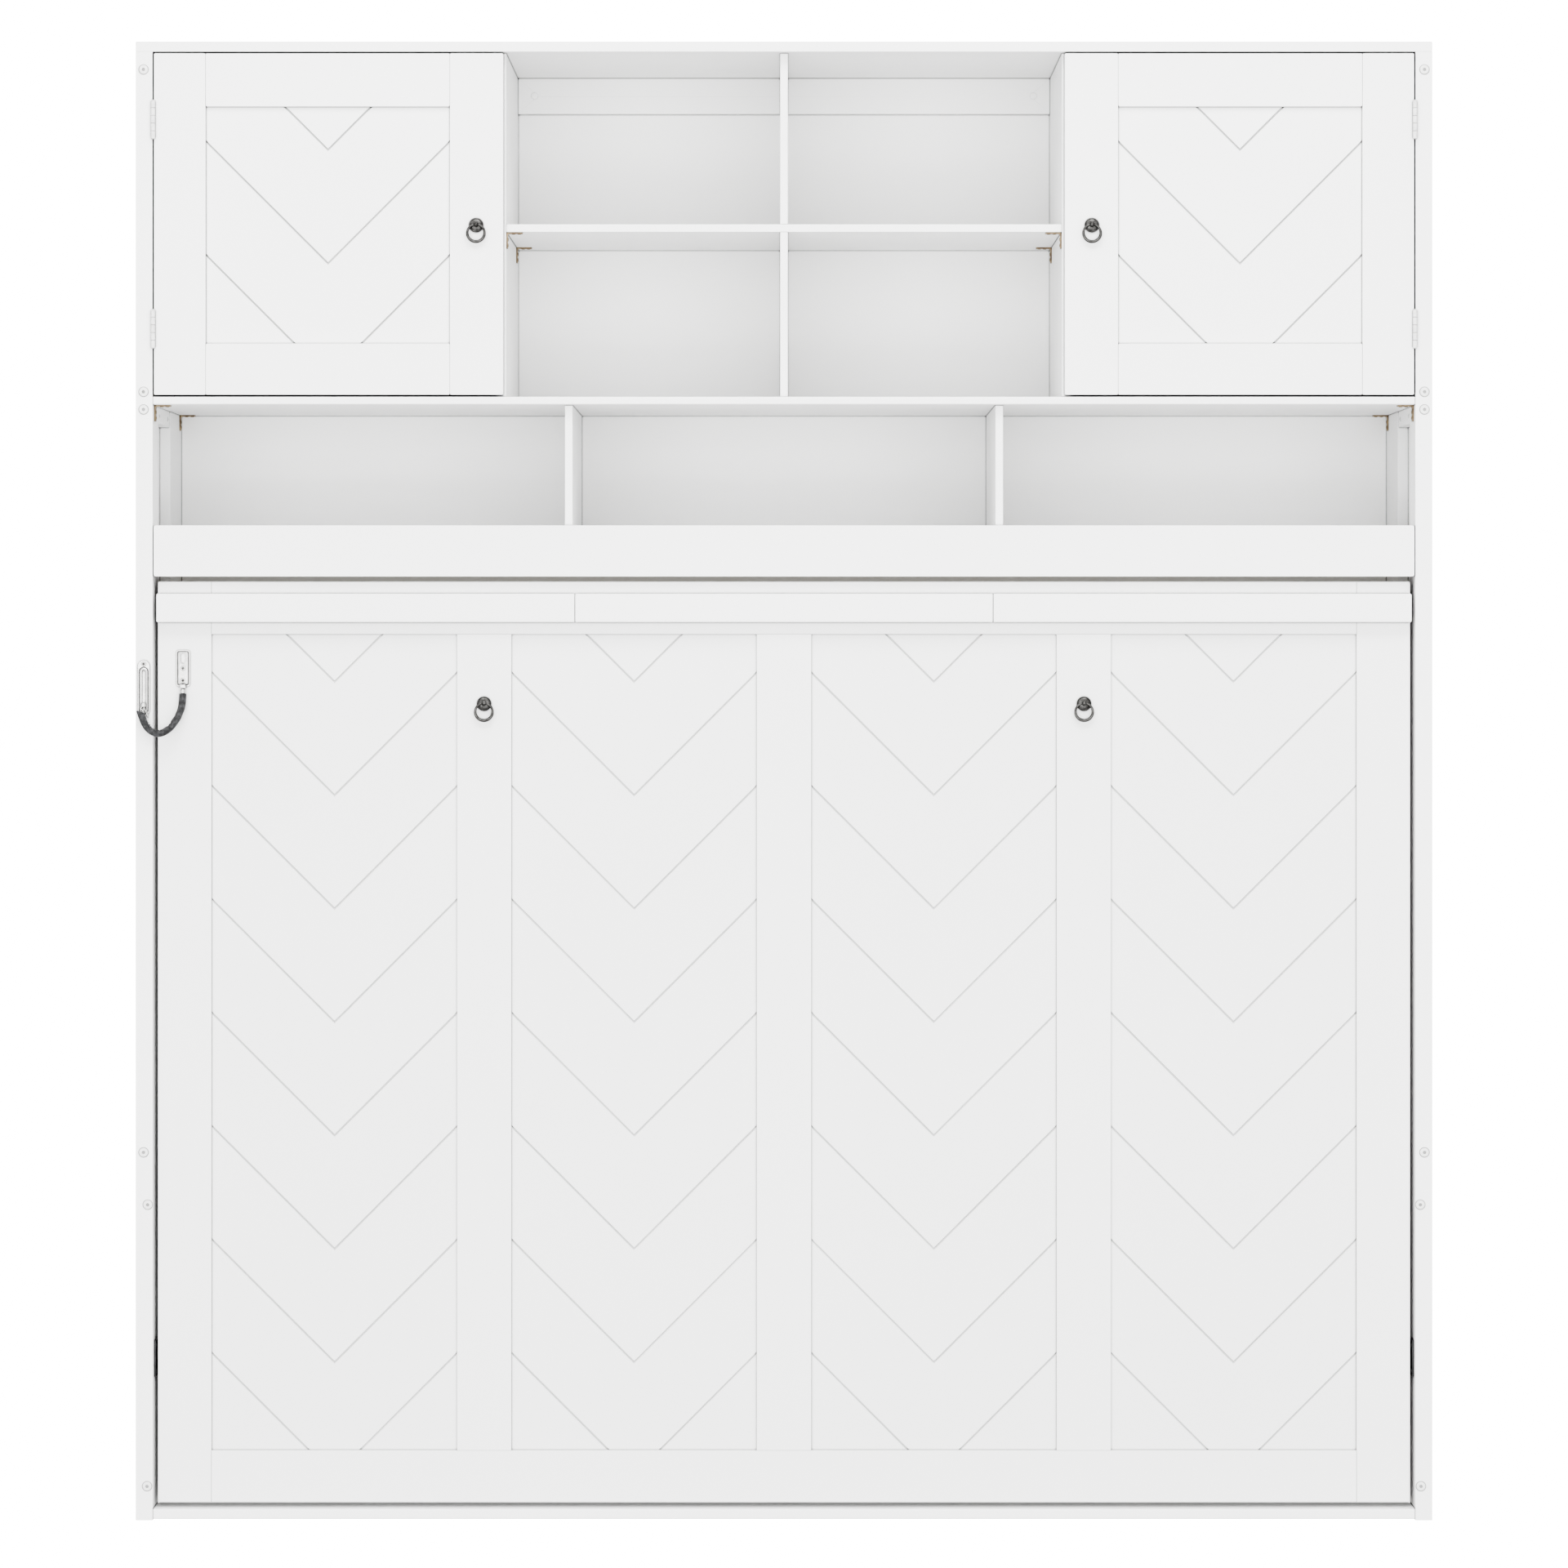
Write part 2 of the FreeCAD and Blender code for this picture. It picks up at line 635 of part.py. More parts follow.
def bed_pulls():
    base = pull_base(*BED_PULL, BED_FACE)
    save("bed_pull_bases", both_sides([base]))
    ring = pull_ring(*BED_PULL, BED_FACE)
    save("right_bed_ring", [ring])
    save("left_bed_ring", [mirrored(ring)])


# ---------------------------------------------------------------- pivots and struts


def pivot_plates():
    """A plate on each front post, with the pin that the bed turns on."""
    outer = (INNER - PIVOT_PLATE_THICKNESS, INNER)
    depth = (PIVOT[0] - PIVOT_PLATE[0] / 2, PIVOT[0] + PIVOT_PLATE[0] / 2)
    height = (PIVOT[1] - PIVOT_PLATE[1] / 2, PIVOT[1] + PIVOT_PLATE[1] / 2)
    plate = board(outer, depth, height)
    pin = along_x((PIN_REACH, INNER - PIVOT_PLATE_THICKNESS), *PIVOT, PIVOT_PIN_RADIUS)
    save("pivot_plates", both_sides([plate.fuse(pin).removeSplitter()]))


def strut_point(distance):
    """A point of the strut's axis, that far down from its upper eye."""
    run = (STRUT_FOOT[0] - STRUT_TOP[0], STRUT_FOOT[1] - STRUT_TOP[1])
    length = math.hypot(*run)
    share = distance / length
    return at(STRUT_X, STRUT_TOP[0] + run[0] * share, STRUT_TOP[1] + run[1] * share)


def strut_length():
    return math.hypot(STRUT_FOOT[0] - STRUT_TOP[0], STRUT_FOOT[1] - STRUT_TOP[1])


def strut_eye(place):
    across = (STRUT_X - STRUT_EYE_THICKNESS / 2, STRUT_X + STRUT_EYE_THICKNESS / 2)
    eye = along_x(across, *place, STRUT_EYE_RADIUS)
    return eye, along_x(across, *place, STUD_RADIUS + STUD_RUNNING)


def strut_tube():
    eye, bore = strut_eye(STRUT_TOP)
    body = rod(strut_point(STRUT_NECK), strut_point(STRUT_TUBE_LENGTH), STRUT_TUBE_RADIUS)
    neck = rod(strut_point(STRUT_EYE_GRIP), strut_point(STRUT_NECK), STRUT_ROD_RADIUS)
    inside = rod(
        strut_point(STRUT_TUBE_LENGTH - STRUT_BORE_LENGTH),
        strut_point(STRUT_TUBE_LENGTH),
        STRUT_BORE_RADIUS,
    )
    return body.cut(inside).fuse(neck).fuse(eye).cut(bore).removeSplitter()


def strut_rod():
    eye, bore = strut_eye(STRUT_FOOT)
    length = strut_length()
    lower = strut_point(length - STRUT_EYE_GRIP)
    bar = rod(strut_point(length - STRUT_ROD_LENGTH), lower, STRUT_ROD_RADIUS)
    return bar.fuse(eye).cut(bore).removeSplitter()


def strut_mounts():
    """The stud on each side rail that the strut's upper eye turns on, with its flange."""
    inner = STRUT_X - STRUT_EYE_THICKNESS / 2 - 1.0
    stud = along_x((inner, SIDE_RAIL_INNER), *STRUT_TOP, STUD_RADIUS)
    flange = along_x((SIDE_RAIL_INNER - 2.0, SIDE_RAIL_INNER), *STRUT_TOP, 11.0)
    save("strut_mounts", both_sides([stud.fuse(flange).removeSplitter()]))
    head = along_x((BED_HALF, BED_HALF + 4.0), *STRUT_FOOT, 9.0)
    save("strut_bed_studs", both_sides([head]))


def gas_struts():
    tube = strut_tube()
    bar = strut_rod()
    save("right_strut_tube", [tube])
    save("left_strut_tube", [mirrored(tube)])
    save("right_strut_rod", [bar])
    save("left_strut_rod", [mirrored(bar)])
    strut_mounts()


# ---------------------------------------------------------------- chain guard


def screw_head(x, depth, z, radius):
    """A low screw head that stands on a plate whose front is at the depth."""
    return along_depth(x, (depth - 1.0, depth), z, radius)


def round_ended(x, half, depth, z):
    """A plate with half-round ends, from the centres of its two ends."""
    shape = board((x - half, x + half), depth, z)
    for end in z:
        shape = shape.fuse(along_depth(x, depth, end, half))
    return shape.removeSplitter()


def chain_track():
    """A slotted plate with a rounded top, and a rib along each side of its slot."""
    depth = (-TRACK_THICKNESS, 0.0)
    across = (TRACK_X - TRACK_HALF_WIDTH, TRACK_X + TRACK_HALF_WIDTH)
    crown = TRACK_Z[1] - TRACK_HALF_WIDTH
    shape = board(across, depth, (TRACK_Z[0], crown))
    shape = shape.fuse(along_depth(TRACK_X, depth, crown, TRACK_HALF_WIDTH))
    for side in (-1, 1):
        rib = sorted(TRACK_X + side * reach for reach in TRACK_RIB)
        shape = shape.fuse(board(rib, (-TRACK_THICKNESS - TRACK_RIB_RISE, 0.0), TRACK_SLOT_Z))
    shape = shape.cut(round_ended(TRACK_X, TRACK_SLOT_HALF, depth, TRACK_SLOT_Z))
    shape = shape.fuse(screw_head(TRACK_X, -TRACK_THICKNESS, TRACK_SCREW_Z, 3.5))
    save("chain_track", [shape.removeSplitter()])


def chain_keeper():
    """A slotted plate, with a lug at its foot for the pin that the chain turns on."""
    across = (KEEPER_X - KEEPER_HALF_WIDTH, KEEPER_X + KEEPER_HALF_WIDTH)
    front = BED_FACE - KEEPER_THICKNESS
    depth = (front, BED_FACE)
    plate = board(across, depth, KEEPER_Z)
    corners = [edge for edge in plate.Edges if abs(edge.tangentAt(0).y) > 0.9]
    shape = plate.makeFillet(KEEPER_CORNER, corners)
    shape = shape.cut(round_ended(KEEPER_X, KEEPER_SLOT_RADIUS, depth, KEEPER_SLOT))
    for z in KEEPER_SCREWS:
        shape = shape.fuse(screw_head(KEEPER_X, front, z, 4.0))
    lug_z = (KEEPER_Z[0] - 3.0, KEEPER_Z[0] + 4.0)
    half = FERRULE_RADIUS
    lug = board((KEEPER_X - half, KEEPER_X + half), (KEEPER_PIN_DEPTH - half, BED_FACE), lug_z)
    low = at(KEEPER_X, KEEPER_PIN_DEPTH, FERRULE_Z[0] + 1.5)
    pin = rod(low, at(KEEPER_X, KEEPER_PIN_DEPTH, lug_z[0]), KEEPER_PIN_RADIUS)
    save("chain_keeper", [shape.fuse(lug).fuse(pin).removeSplitter()])


def chain_ends():
    """The ferrule that turns on the keeper's pin, and the button that hooks in the track."""
    base = at(KEEPER_X, KEEPER_PIN_DEPTH, FERRULE_Z[0])
    tip = at(KEEPER_X, KEEPER_PIN_DEPTH, FERRULE_Z[1])
    cup = at(KEEPER_X, KEEPER_PIN_DEPTH, FERRULE_Z[0] + 1.0)
    ferrule = rod(base, tip, FERRULE_RADIUS).cut(rod(cup, tip, KEEPER_PIN_RADIUS + 0.05))
    button = along_depth(TRACK_X, BUTTON_DEPTHS, BUTTON_Z, BUTTON_RADIUS)
    neck = along_depth(TRACK_X, (BUTTON_DEPTHS[1], -1.0), BUTTON_Z, BUTTON_NECK_RADIUS)
    sleeve_end = at(*SLEEVE_ROUTE[-1])
    hook = at(TRACK_X, sum(BUTTON_DEPTHS) / 2, BUTTON_Z)
    link = rod(sleeve_end, hook, CHAIN_LINK_RADIUS)
    behind = at(*SLEEVE_ROUTE[-2]) - sleeve_end
    inside_sleeve = rod(sleeve_end, sleeve_end + behind, SLEEVE_RADIUS)
    hooked = button.fuse(neck).fuse(link).cut(inside_sleeve)
    save("chain_ends", [ferrule, hooked.removeSplitter()])


def rounded_route(points):
    """Straight runs joined by tangent arcs, each as large as its two runs allow."""
    edges = []
    radii = []
    last = points[0]
    for before, corner, after in zip(points, points[1:], points[2:]):
        back = before - corner
        ahead = after - corner
        cut = 0.45 * min(back.Length, ahead.Length)
        back.normalize()
        ahead.normalize()
        half_turn = (math.pi - back.getAngle(ahead)) / 2
        start = corner + back * cut
        end = corner + ahead * cut
        bisector = back + ahead
        bisector.normalize()
        radius = cut / math.tan(half_turn)
        middle = corner + bisector * (radius / math.cos(half_turn) - radius)
        edges.append(Part.LineSegment(last, start).toShape())
        edges.append(Part.Arc(start, middle, end).toShape())
        radii.append(radius)
        last = end
    edges.append(Part.LineSegment(last, points[-1]).toShape())
    return Part.Wire(edges), radii


def chain_sleeve():
    points = [at(*point) for point in SLEEVE_ROUTE]
    path, radii = rounded_route(points)
    circle = Part.Circle(points[0], points[1] - points[0], SLEEVE_RADIUS).toShape()
    tube = path.makePipeShell([Part.Wire([circle])], True, False)
    print("sleeve length", round(path.Length, 1), "radii", [round(radius, 1) for radius in radii])
    print("sleeve volume share", round(tube.Volume / (path.Length * math.pi * SLEEVE_RADIUS ** 2), 3))
    save("chain_sleeve", [tube])


def main():
    os.makedirs("parts", exist_ok=True)
    front_posts()
    back_posts()
    side_rails()
    side_panels()
    cross_rails()
    frame_bolts()
    top_boards()
    cabinet_floor()
    cabinet_inside()
    cabinet_back()
    open_row()
    shelf_brackets()
    doors()
    hinge_post_parts()
    face_frame()
    face_panels()
    box_rails()
    bed_slats()
    leg_guides()
    feet()
    bed_pulls()
    pivot_plates()
    gas_struts()
    chain_track()
    chain_keeper()
    chain_ends()
    chain_sleeve()


main()
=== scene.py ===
"""The looks of the wall bed: its finish, its small metal pieces, the light and the camera."""
import math

import bmesh
import bpy
from mathutils import Matrix, Vector, noise as field


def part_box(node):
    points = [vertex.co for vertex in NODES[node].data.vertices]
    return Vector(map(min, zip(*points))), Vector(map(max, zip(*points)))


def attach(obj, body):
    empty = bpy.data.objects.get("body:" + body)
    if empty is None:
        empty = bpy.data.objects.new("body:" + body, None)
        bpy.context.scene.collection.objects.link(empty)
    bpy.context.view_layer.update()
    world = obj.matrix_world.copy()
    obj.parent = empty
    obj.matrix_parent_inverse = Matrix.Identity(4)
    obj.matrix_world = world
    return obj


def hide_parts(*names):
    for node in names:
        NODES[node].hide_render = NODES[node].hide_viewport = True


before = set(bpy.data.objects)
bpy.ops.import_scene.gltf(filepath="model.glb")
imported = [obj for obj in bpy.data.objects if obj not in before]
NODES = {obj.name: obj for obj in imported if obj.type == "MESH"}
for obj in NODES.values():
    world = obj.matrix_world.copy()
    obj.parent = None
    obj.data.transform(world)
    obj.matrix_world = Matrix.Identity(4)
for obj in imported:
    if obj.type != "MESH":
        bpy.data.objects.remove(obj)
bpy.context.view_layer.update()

MM = 0.001
SIDES = (("left", -1), ("right", 1))
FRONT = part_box("lower_front_posts")[0].y


def place(x, depth, z):
    """A point from millimetres: across, behind the front of the posts, and up."""
    return Vector((x * MM, FRONT + depth * MM, z * MM))


def corners(node):
    """A CAD node's lowest and highest corner in the millimetres of place(), y for the depth."""
    return [Vector((corner.x, corner.y - FRONT, corner.z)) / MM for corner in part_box(node)]


# Boards that the small pieces are laid out from.
OUTER = corners("lower_front_posts")[1].x
INNER = corners("front_floor_rail")[1].x
BACK = corners("row_back_panel")[1].y
BED_LOW, BED_HIGH = corners("bed_face_frame")
PANELS_LOW, PANELS_HIGH = corners("bed_face_panels")
BED_FACE = BED_LOW.y


# ---------------------------------------------------------------- materials


# The near-black that corners, grooves and recesses are darkened towards: painted shade.
CORNER_SHADE_TONE = (0.01, 0.01, 0.01)
UPRIGHT_GRAIN = (14.0, 14.0, 0.8)
LEVEL_GRAIN = (0.8, 14.0, 14.0)
DEEP_GRAIN = (14.0, 0.8, 14.0)
BACK_GRAIN = (0.6, 9.0, 12.0)
WHITE = ((0.885, 0.885, 0.882), (0.85, 0.85, 0.845))


def node_of(tree, kind, **inputs):
    """A new shader node with constant values on its inputs."""
    made = tree.nodes.new(kind)
    for key, value in inputs.items():
        made.inputs[key.replace("_", " ")].default_value = value
    return made


def stretched(tree, scale=(1.0, 1.0, 1.0)):
    """Object coordinates, scaled differently along each axis."""
    where = tree.nodes.new("ShaderNodeTexCoord")
    mapping = node_of(tree, "ShaderNodeMapping", Scale=scale)
    tree.links.new(where.outputs["Object"], mapping.inputs["Vector"])
    return mapping.outputs["Vector"]


def noise(tree, vector, scale, detail=3.0, roughness=0.5, distortion=0.0):
    made = node_of(
        tree, "ShaderNodeTexNoise",
        Scale=scale, Detail=detail, Roughness=roughness, Distortion=distortion,
    )
    tree.links.new(vector, made.inputs["Vector"])
    return made.outputs["Fac"]


def spread(tree, value, low, high, start=0.3, end=0.7):
    """A value mapped smoothly from the range start to end onto the range low to high."""
    made = tree.nodes.new("ShaderNodeMapRange")
    made.interpolation_type = "SMOOTHSTEP"
    for name, number in (("From Min", start), ("From Max", end), ("To Min", low), ("To Max", high)):
        made.inputs[name].default_value = number
    tree.links.new(value, made.inputs["Value"])
    return made.outputs["Result"]


def blended(tree, share, first, second):
    """A colour between two, by a share that varies over the surface."""
    made = tree.nodes.new("ShaderNodeMix")
    made.data_type = "RGBA"
    tree.links.new(share, made.inputs["Factor"])
    for socket, colour in (("A", first), ("B", second)):
        target = [s for s in made.inputs if s.name == socket and s.type == "RGBA"][0]
        if isinstance(colour, (tuple, list)):
            target.default_value = (*colour, 1.0)
        else:
            tree.links.new(colour, target)
    return [s for s in made.outputs if s.type == "RGBA"][0]


def bumped(tree, height, strength, distance, below=None):
    """A bump of the given height in metres, on top of another one."""
    made = node_of(tree, "ShaderNodeBump", Strength=strength, Distance=distance)
    tree.links.new(height, made.inputs["Height"])
    if below is not None:
        tree.links.new(below, made.inputs["Normal"])
    return made.outputs["Normal"]


def shaded_corners(tree, tone, reach, depth):
    """Darkens a colour in corners and grooves narrower than the reach: painted shade, deepest where
    the surface is least open.
    """
    openness = node_of(tree, "ShaderNodeAmbientOcclusion", Distance=reach * MM)
    openness.samples = 8
    share = spread(tree, openness.outputs["AO"], depth, 0.0, start=0.3, end=0.92)
    return blended(tree, share, tone, CORNER_SHADE_TONE)


def blank(name, **sockets):
    """A new Principled material with constant values on its own sockets."""
    material = bpy.data.materials.new(name)
    material.use_nodes = True
    shader = material.node_tree.nodes["Principled BSDF"]
    for key, value in sockets.items():
        shader.inputs[key.replace("_", " ")].default_value = value
    return material, material.node_tree, shader


def lacquer(name, grain, tones=WHITE, corner_shade=0.9):
    """Satin lacquer on wood, in a light and a dim tone: the grain shows through as fine ridges."""
    material, tree, shader = blank(name, Specular_IOR_Level=0.42)
    light, dim = tones
    clouds = noise(tree, stretched(tree, (1.3, 1.3, 1.3)), scale=1.6, detail=4.0)
    ridges = noise(
        tree, stretched(tree, grain), scale=9.0, detail=6.0, roughness=0.62, distortion=0.4,
    )
    specks = noise(tree, stretched(tree), scale=900.0, detail=2.0)
    tone = blended(tree, spread(tree, clouds, 0.0, 0.4), light, dim)
    tone = blended(tree, spread(tree, ridges, 0.0, 0.10, start=0.45, end=0.8), tone, dim)
    # Painted shade: corners and grooves narrower than 4 mm darkened towards near-black.
    tone = shaded_corners(tree, tone, 4.0, corner_shade)
    tree.links.new(tone, shader.inputs["Base Color"])
    tree.links.new(spread(tree, ridges, 0.36, 0.5), shader.inputs["Roughness"])
    peel = bumped(tree, specks, 0.04, 0.0002)
    tree.links.new(bumped(tree, ridges, 0.05, 0.0004, peel), shader.inputs["Normal"])
    return material


def pine(name, grain):
    """Planed softwood with growth rings drawn out along the board, and a few knots."""
    material, tree, shader = blank(name, Roughness=0.55, Specular_IOR_Level=0.3)
    vector = stretched(tree, grain)
    wander = noise(tree, vector, scale=2.2, detail=3.0, roughness=0.5, distortion=0.6)
    rings = node_of(
        tree, "ShaderNodeTexWave", Scale=7.0, Distortion=6.0, Detail=3.0, Detail_Scale=1.4,
    )
    rings.wave_type = "BANDS"
    rings.bands_direction = "X"
    tree.links.new(vector, rings.inputs["Vector"])
    fine = stretched(tree, tuple(8 * g for g in grain))
    fibres = noise(tree, fine, scale=30.0, detail=4.0, roughness=0.6)
    tone = blended(tree, rings.outputs["Fac"], (0.63, 0.55, 0.44), (0.51, 0.43, 0.33))
    tone = blended(tree, spread(tree, wander, 0.0, 0.6), tone, (0.69, 0.61, 0.50))
    knots = node_of(tree, "ShaderNodeTexVoronoi", Scale=2.6)
    tree.links.new(vector, knots.inputs["Vector"])
    spots = spread(tree, knots.outputs["Distance"], 1.0, 0.0, start=0.02, end=0.09)
    tone = blended(tree, spots, tone, (0.27, 0.18, 0.11))
    tree.links.new(tone, shader.inputs["Base Color"])
    ridge = bumped(tree, fibres, 0.25, 0.0004)
    tree.links.new(bumped(tree, rings.outputs["Fac"], 0.1, 0.0005, ridge), shader.inputs["Normal"])
    return material


def metal(name, light, dark, gloss, scale, metallic=1.0, dents=0.15, corner_shade=0.0):
    """Metal, or paint or plastic with metallic at 0: mottled, unevenly glossy, slightly dented.

    The gloss is the lowest and the highest roughness, the scale that of the mottling.
    """
    material, tree, shader = blank(name, Metallic=metallic)
    blotches = noise(tree, stretched(tree), scale, detail=5.0, roughness=0.6)
    fine = noise(tree, stretched(tree), scale * 9, detail=3.0)
    tone = blended(tree, spread(tree, blotches, 0.0, 1.0), dark, light)
    # Painted shade: corners and recesses darkened towards near-black, when a share is given.
    if corner_shade:
        tone = shaded_corners(tree, tone, 3.2, corner_shade)
    tree.links.new(tone, shader.inputs["Base Color"])
    tree.links.new(spread(tree, fine, *gloss), shader.inputs["Roughness"])
    tree.links.new(bumped(tree, blotches, dents, 0.0004), shader.inputs["Normal"])
    return material


def woven(name):
    """Black woven tube cloth: crossed threads, a soft sheen and paler worn spots."""
    material, tree, shader = blank(name, Roughness=0.72, Sheen_Weight=0.25, Sheen_Roughness=0.4)
    vector = stretched(tree)
    threads = []
    for direction in ("DIAGONAL", "Z"):
        wave = node_of(tree, "ShaderNodeTexWave", Scale=420.0, Distortion=1.5)
        wave.bands_direction = direction
        tree.links.new(vector, wave.inputs["Vector"])
        threads.append(wave.outputs["Fac"])
    worn = spread(
        tree, noise(tree, vector, scale=170.0, detail=5.0, roughness=0.65), 0.0, 1.0, start=0.35,
    )
    tone = blended(tree, worn, (0.013, 0.013, 0.0135), (0.075, 0.075, 0.078))
    tone = blended(tree, spread(tree, threads[0], 0.0, 0.4), tone, (0.03, 0.03, 0.031))
    # Painted shade: the cloth's creases and gathers darkened towards near-black.
    tone = shaded_corners(tree, tone, 3.0, 0.95)
    tree.links.new(tone, shader.inputs["Base Color"])
    first = bumped(tree, threads[0], 0.5, 0.0003)
    tree.links.new(bumped(tree, threads[1], 0.4, 0.0003, first), shader.inputs["Normal"])
    return material


def make_materials():
    # The side rails and back boards inside a little lighter than the white: painted light, to lift
    # the shade inside the cabinet.
    deep = ((0.92, 0.92, 0.915), (0.90, 0.90, 0.895))
    back = ((0.94, 0.94, 0.935), (0.92, 0.92, 0.915))
    # The bed's face a little darker than the cabinet's white: painted shade, for the dimmer light
    # on it.
    shaded_bed_frame = ((0.84, 0.84, 0.837), (0.81, 0.81, 0.805))
    shaded_bed_panel = ((0.82, 0.82, 0.817), (0.795, 0.795, 0.79))
    # A dark lacquer for strips on the bed's seams: painted shade.
    joint = ((0.28, 0.28, 0.278), (0.24, 0.24, 0.238))
    return {
        "upright": lacquer("lacquer_upright", UPRIGHT_GRAIN),
        "level": lacquer("lacquer_level", LEVEL_GRAIN),
        "deep": lacquer("lacquer_deep", DEEP_GRAIN, deep),
        "back": lacquer("back_board", BACK_GRAIN, back),
        "shaded_bed_frame": lacquer("bed_lacquer", UPRIGHT_GRAIN, shaded_bed_frame),
        "shaded_bed_panel": lacquer("panel_lacquer", UPRIGHT_GRAIN, shaded_bed_panel, 0.6),
        "joint": lacquer("seam_shade_lacquer", UPRIGHT_GRAIN, joint, 0.0),
        "pine": pine("slat_pine", (22.0, 22.0, 1.1)),
        "pine_level": pine("ledger_pine", (1.1, 22.0, 22.0)),
        "gunmetal": metal(
            "gunmetal", (0.115, 0.113, 0.11), (0.05, 0.049, 0.047), (0.26, 0.44), 160.0,
        ),
        "nickel": metal(
            "dull_nickel", (0.62, 0.617, 0.61), (0.50, 0.497, 0.49), (0.32, 0.46), 120.0,
            corner_shade=0.97,
        ),
        "gilt": metal(
            "yellow_zinc", (0.34, 0.27, 0.17), (0.15, 0.11, 0.08), (0.38, 0.58), 110.0, corner_shade=0.7,
        ),
        "rod": metal(
            "polished_rod", (0.72, 0.72, 0.74), (0.60, 0.60, 0.62), (0.08, 0.16), 60.0, dents=0.02,
        ),
        "washer": metal(
            "washer_steel", (0.36, 0.36, 0.355), (0.26, 0.26, 0.255), (0.4, 0.55), 120.0, 0.0,
        ),
        "white_metal": metal(
            "white_metal", (0.76, 0.76, 0.75), (0.62, 0.62, 0.61), (0.3, 0.45), 80.0, 0.0,
            corner_shade=0.95,
        ),
        "bolt": metal(
            "bolt_white", (0.80, 0.80, 0.79), (0.72, 0.72, 0.71), (0.28, 0.42), 150.0, 0.0,
            corner_shade=0.95,
        ),
        "black_steel": metal(
            "black_steel", (0.030, 0.030, 0.032), (0.016, 0.016, 0.017), (0.35, 0.55), 70.0, 0.0,
        ),
        "foot_steel": metal(
            "foot_white", (0.80, 0.80, 0.79), (0.72, 0.72, 0.71), (0.3, 0.42), 60.0, 0.0,
        ),
        "nylon": metal(
            "black_nylon", (0.035, 0.035, 0.036), (0.022, 0.022, 0.023), (0.5, 0.65), 60.0, 0.0,
        ),
        "cloth": woven("sleeve_cloth"),
    }


# ---------------------------------------------------------------- mesh helpers, in millimetres


ROUND_STEPS = 32
HEAD_STEPS = 48
CREASE = 35.0
TO_TOP = Matrix.Identity(4)
TO_FRONT = Matrix.Rotation(math.radians(90), 4, "X")
TO_BACK = Matrix.Rotation(math.radians(-90), 4, "X")
TO_FLOOR = Matrix.Rotation(math.radians(180), 4, "X")


def to_side(sign):
    """Turns a lathe's axis to the left for -1 and to the right for 1."""
    return Matrix.Rotation(math.radians(90 * sign), 4, "Y")


def at_place(x, depth, z, turn=TO_FRONT):
    """A matrix that puts a turned piece at a place, its axis to the front by default."""
    return Matrix.Translation(place(x, depth, z)) @ turn


def shift(x, depth, z):
    return Vector((x, depth, z)) * MM


def rings_of(bm, matrix, rings):
    """Skins a list of rings, each a list of points, and returns the rings of vertices."""
    made = [[bm.verts.new(matrix @ Vector(p)) for p in ring] for ring in rings]
    for low, high in zip(made, made[1:]):
        count = len(low)
        for i in range(count):
            j = (i + 1) % count
            bm.faces.new((low[i], low[j], high[j], high[i]))
    return made


def outlined(outline, height, steps):
    """A ring whose radius at each angle is given by a function."""
    points = []
    for i in range(steps):
        angle = 2 * math.pi * i / steps
        radius = outline(angle) * MM
        points.append((radius * math.cos(angle), radius * math.sin(angle), height * MM))
    return points


def circle(radius, height, steps=ROUND_STEPS):
    return outlined(lambda angle: radius, height, steps)


def lathe(bm, matrix, profile, steps=ROUND_STEPS):
    """A turned solid about the matrix's Z axis, closed at both ends, from radii and heights."""
    rings = rings_of(bm, matrix, [circle(radius, height, steps) for radius, height in profile])
    bm.faces.new(reversed(rings[0]))
    bm.faces.new(rings[-1])


def hexagon(flats):
    """The outline of a hexagon, by its distance across the flats."""
    def outline(angle):
        return flats / 2 / math.cos(angle % (math.pi / 3) - math.pi / 6)
    return outline


def cross(length, width):
    """The outline of a cross-head recess, by half its length and half an arm's width."""
    def outline(angle):
        c, s = max(abs(math.cos(angle)), 1e-6), max(abs(math.sin(angle)), 1e-6)
        return max(min(length / c, width / s), min(length / s, width / c))
    return outline


def headed(bm, matrix, radius, height, outline, sink):
    """A domed bolt or screw head with a recess of the given outline."""
    profile = ((1.0, 0.0), (1.0, 0.45), (0.94, 0.78), (0.80, 0.95), (0.62, 1.0))
    rings = [circle(radius * r, height * h, HEAD_STEPS) for r, h in profile]
    rings.append(outlined(outline, height, HEAD_STEPS))
    rings.append(outlined(outline, height - sink, HEAD_STEPS))
    made = rings_of(bm, matrix, rings)
    bm.faces.new(reversed(made[0]))
    bm.faces.new(made[-1])


# The radius of a screw's head in a board, and in a bracket, a back board and the chain's plates.
WOOD_SCREW = 3.4
BRACKET_SCREW = 2.9
BACK_SCREW = 2.8
TRACK_HEAD = 3.8
KEEPER_HEAD = 4.0
WIDE_ARM = 0.32


def screw(bm, matrix, radius, height=1.1, arm=0.2):
    """A cross-head screw. The arm is half an arm's width as a share of the radius."""
    headed(bm, matrix, radius, height, cross(radius * 0.6, radius * arm), 1.0)


def slab(bm, low, high, rounding=0.0, segments=2):
    """A box between two corners, with its edges rounded where a rounding is given."""
    part = bmesh.new()
    bmesh.ops.create_cube(part, size=1.0)
    for vertex in part.verts:
        for axis in range(3):
            vertex.co[axis] = low[axis] if vertex.co[axis] < 0 else high[axis]
    if rounding:
        bmesh.ops.bevel(
            part, geom=list(part.edges), offset=rounding * MM, segments=segments, profile=0.5,
            affect="EDGES",
        )
    mesh = bpy.data.meshes.new("part")
    part.to_mesh(mesh)
    part.free()
    bm.from_mesh(mesh)
    bpy.data.meshes.remove(mesh)


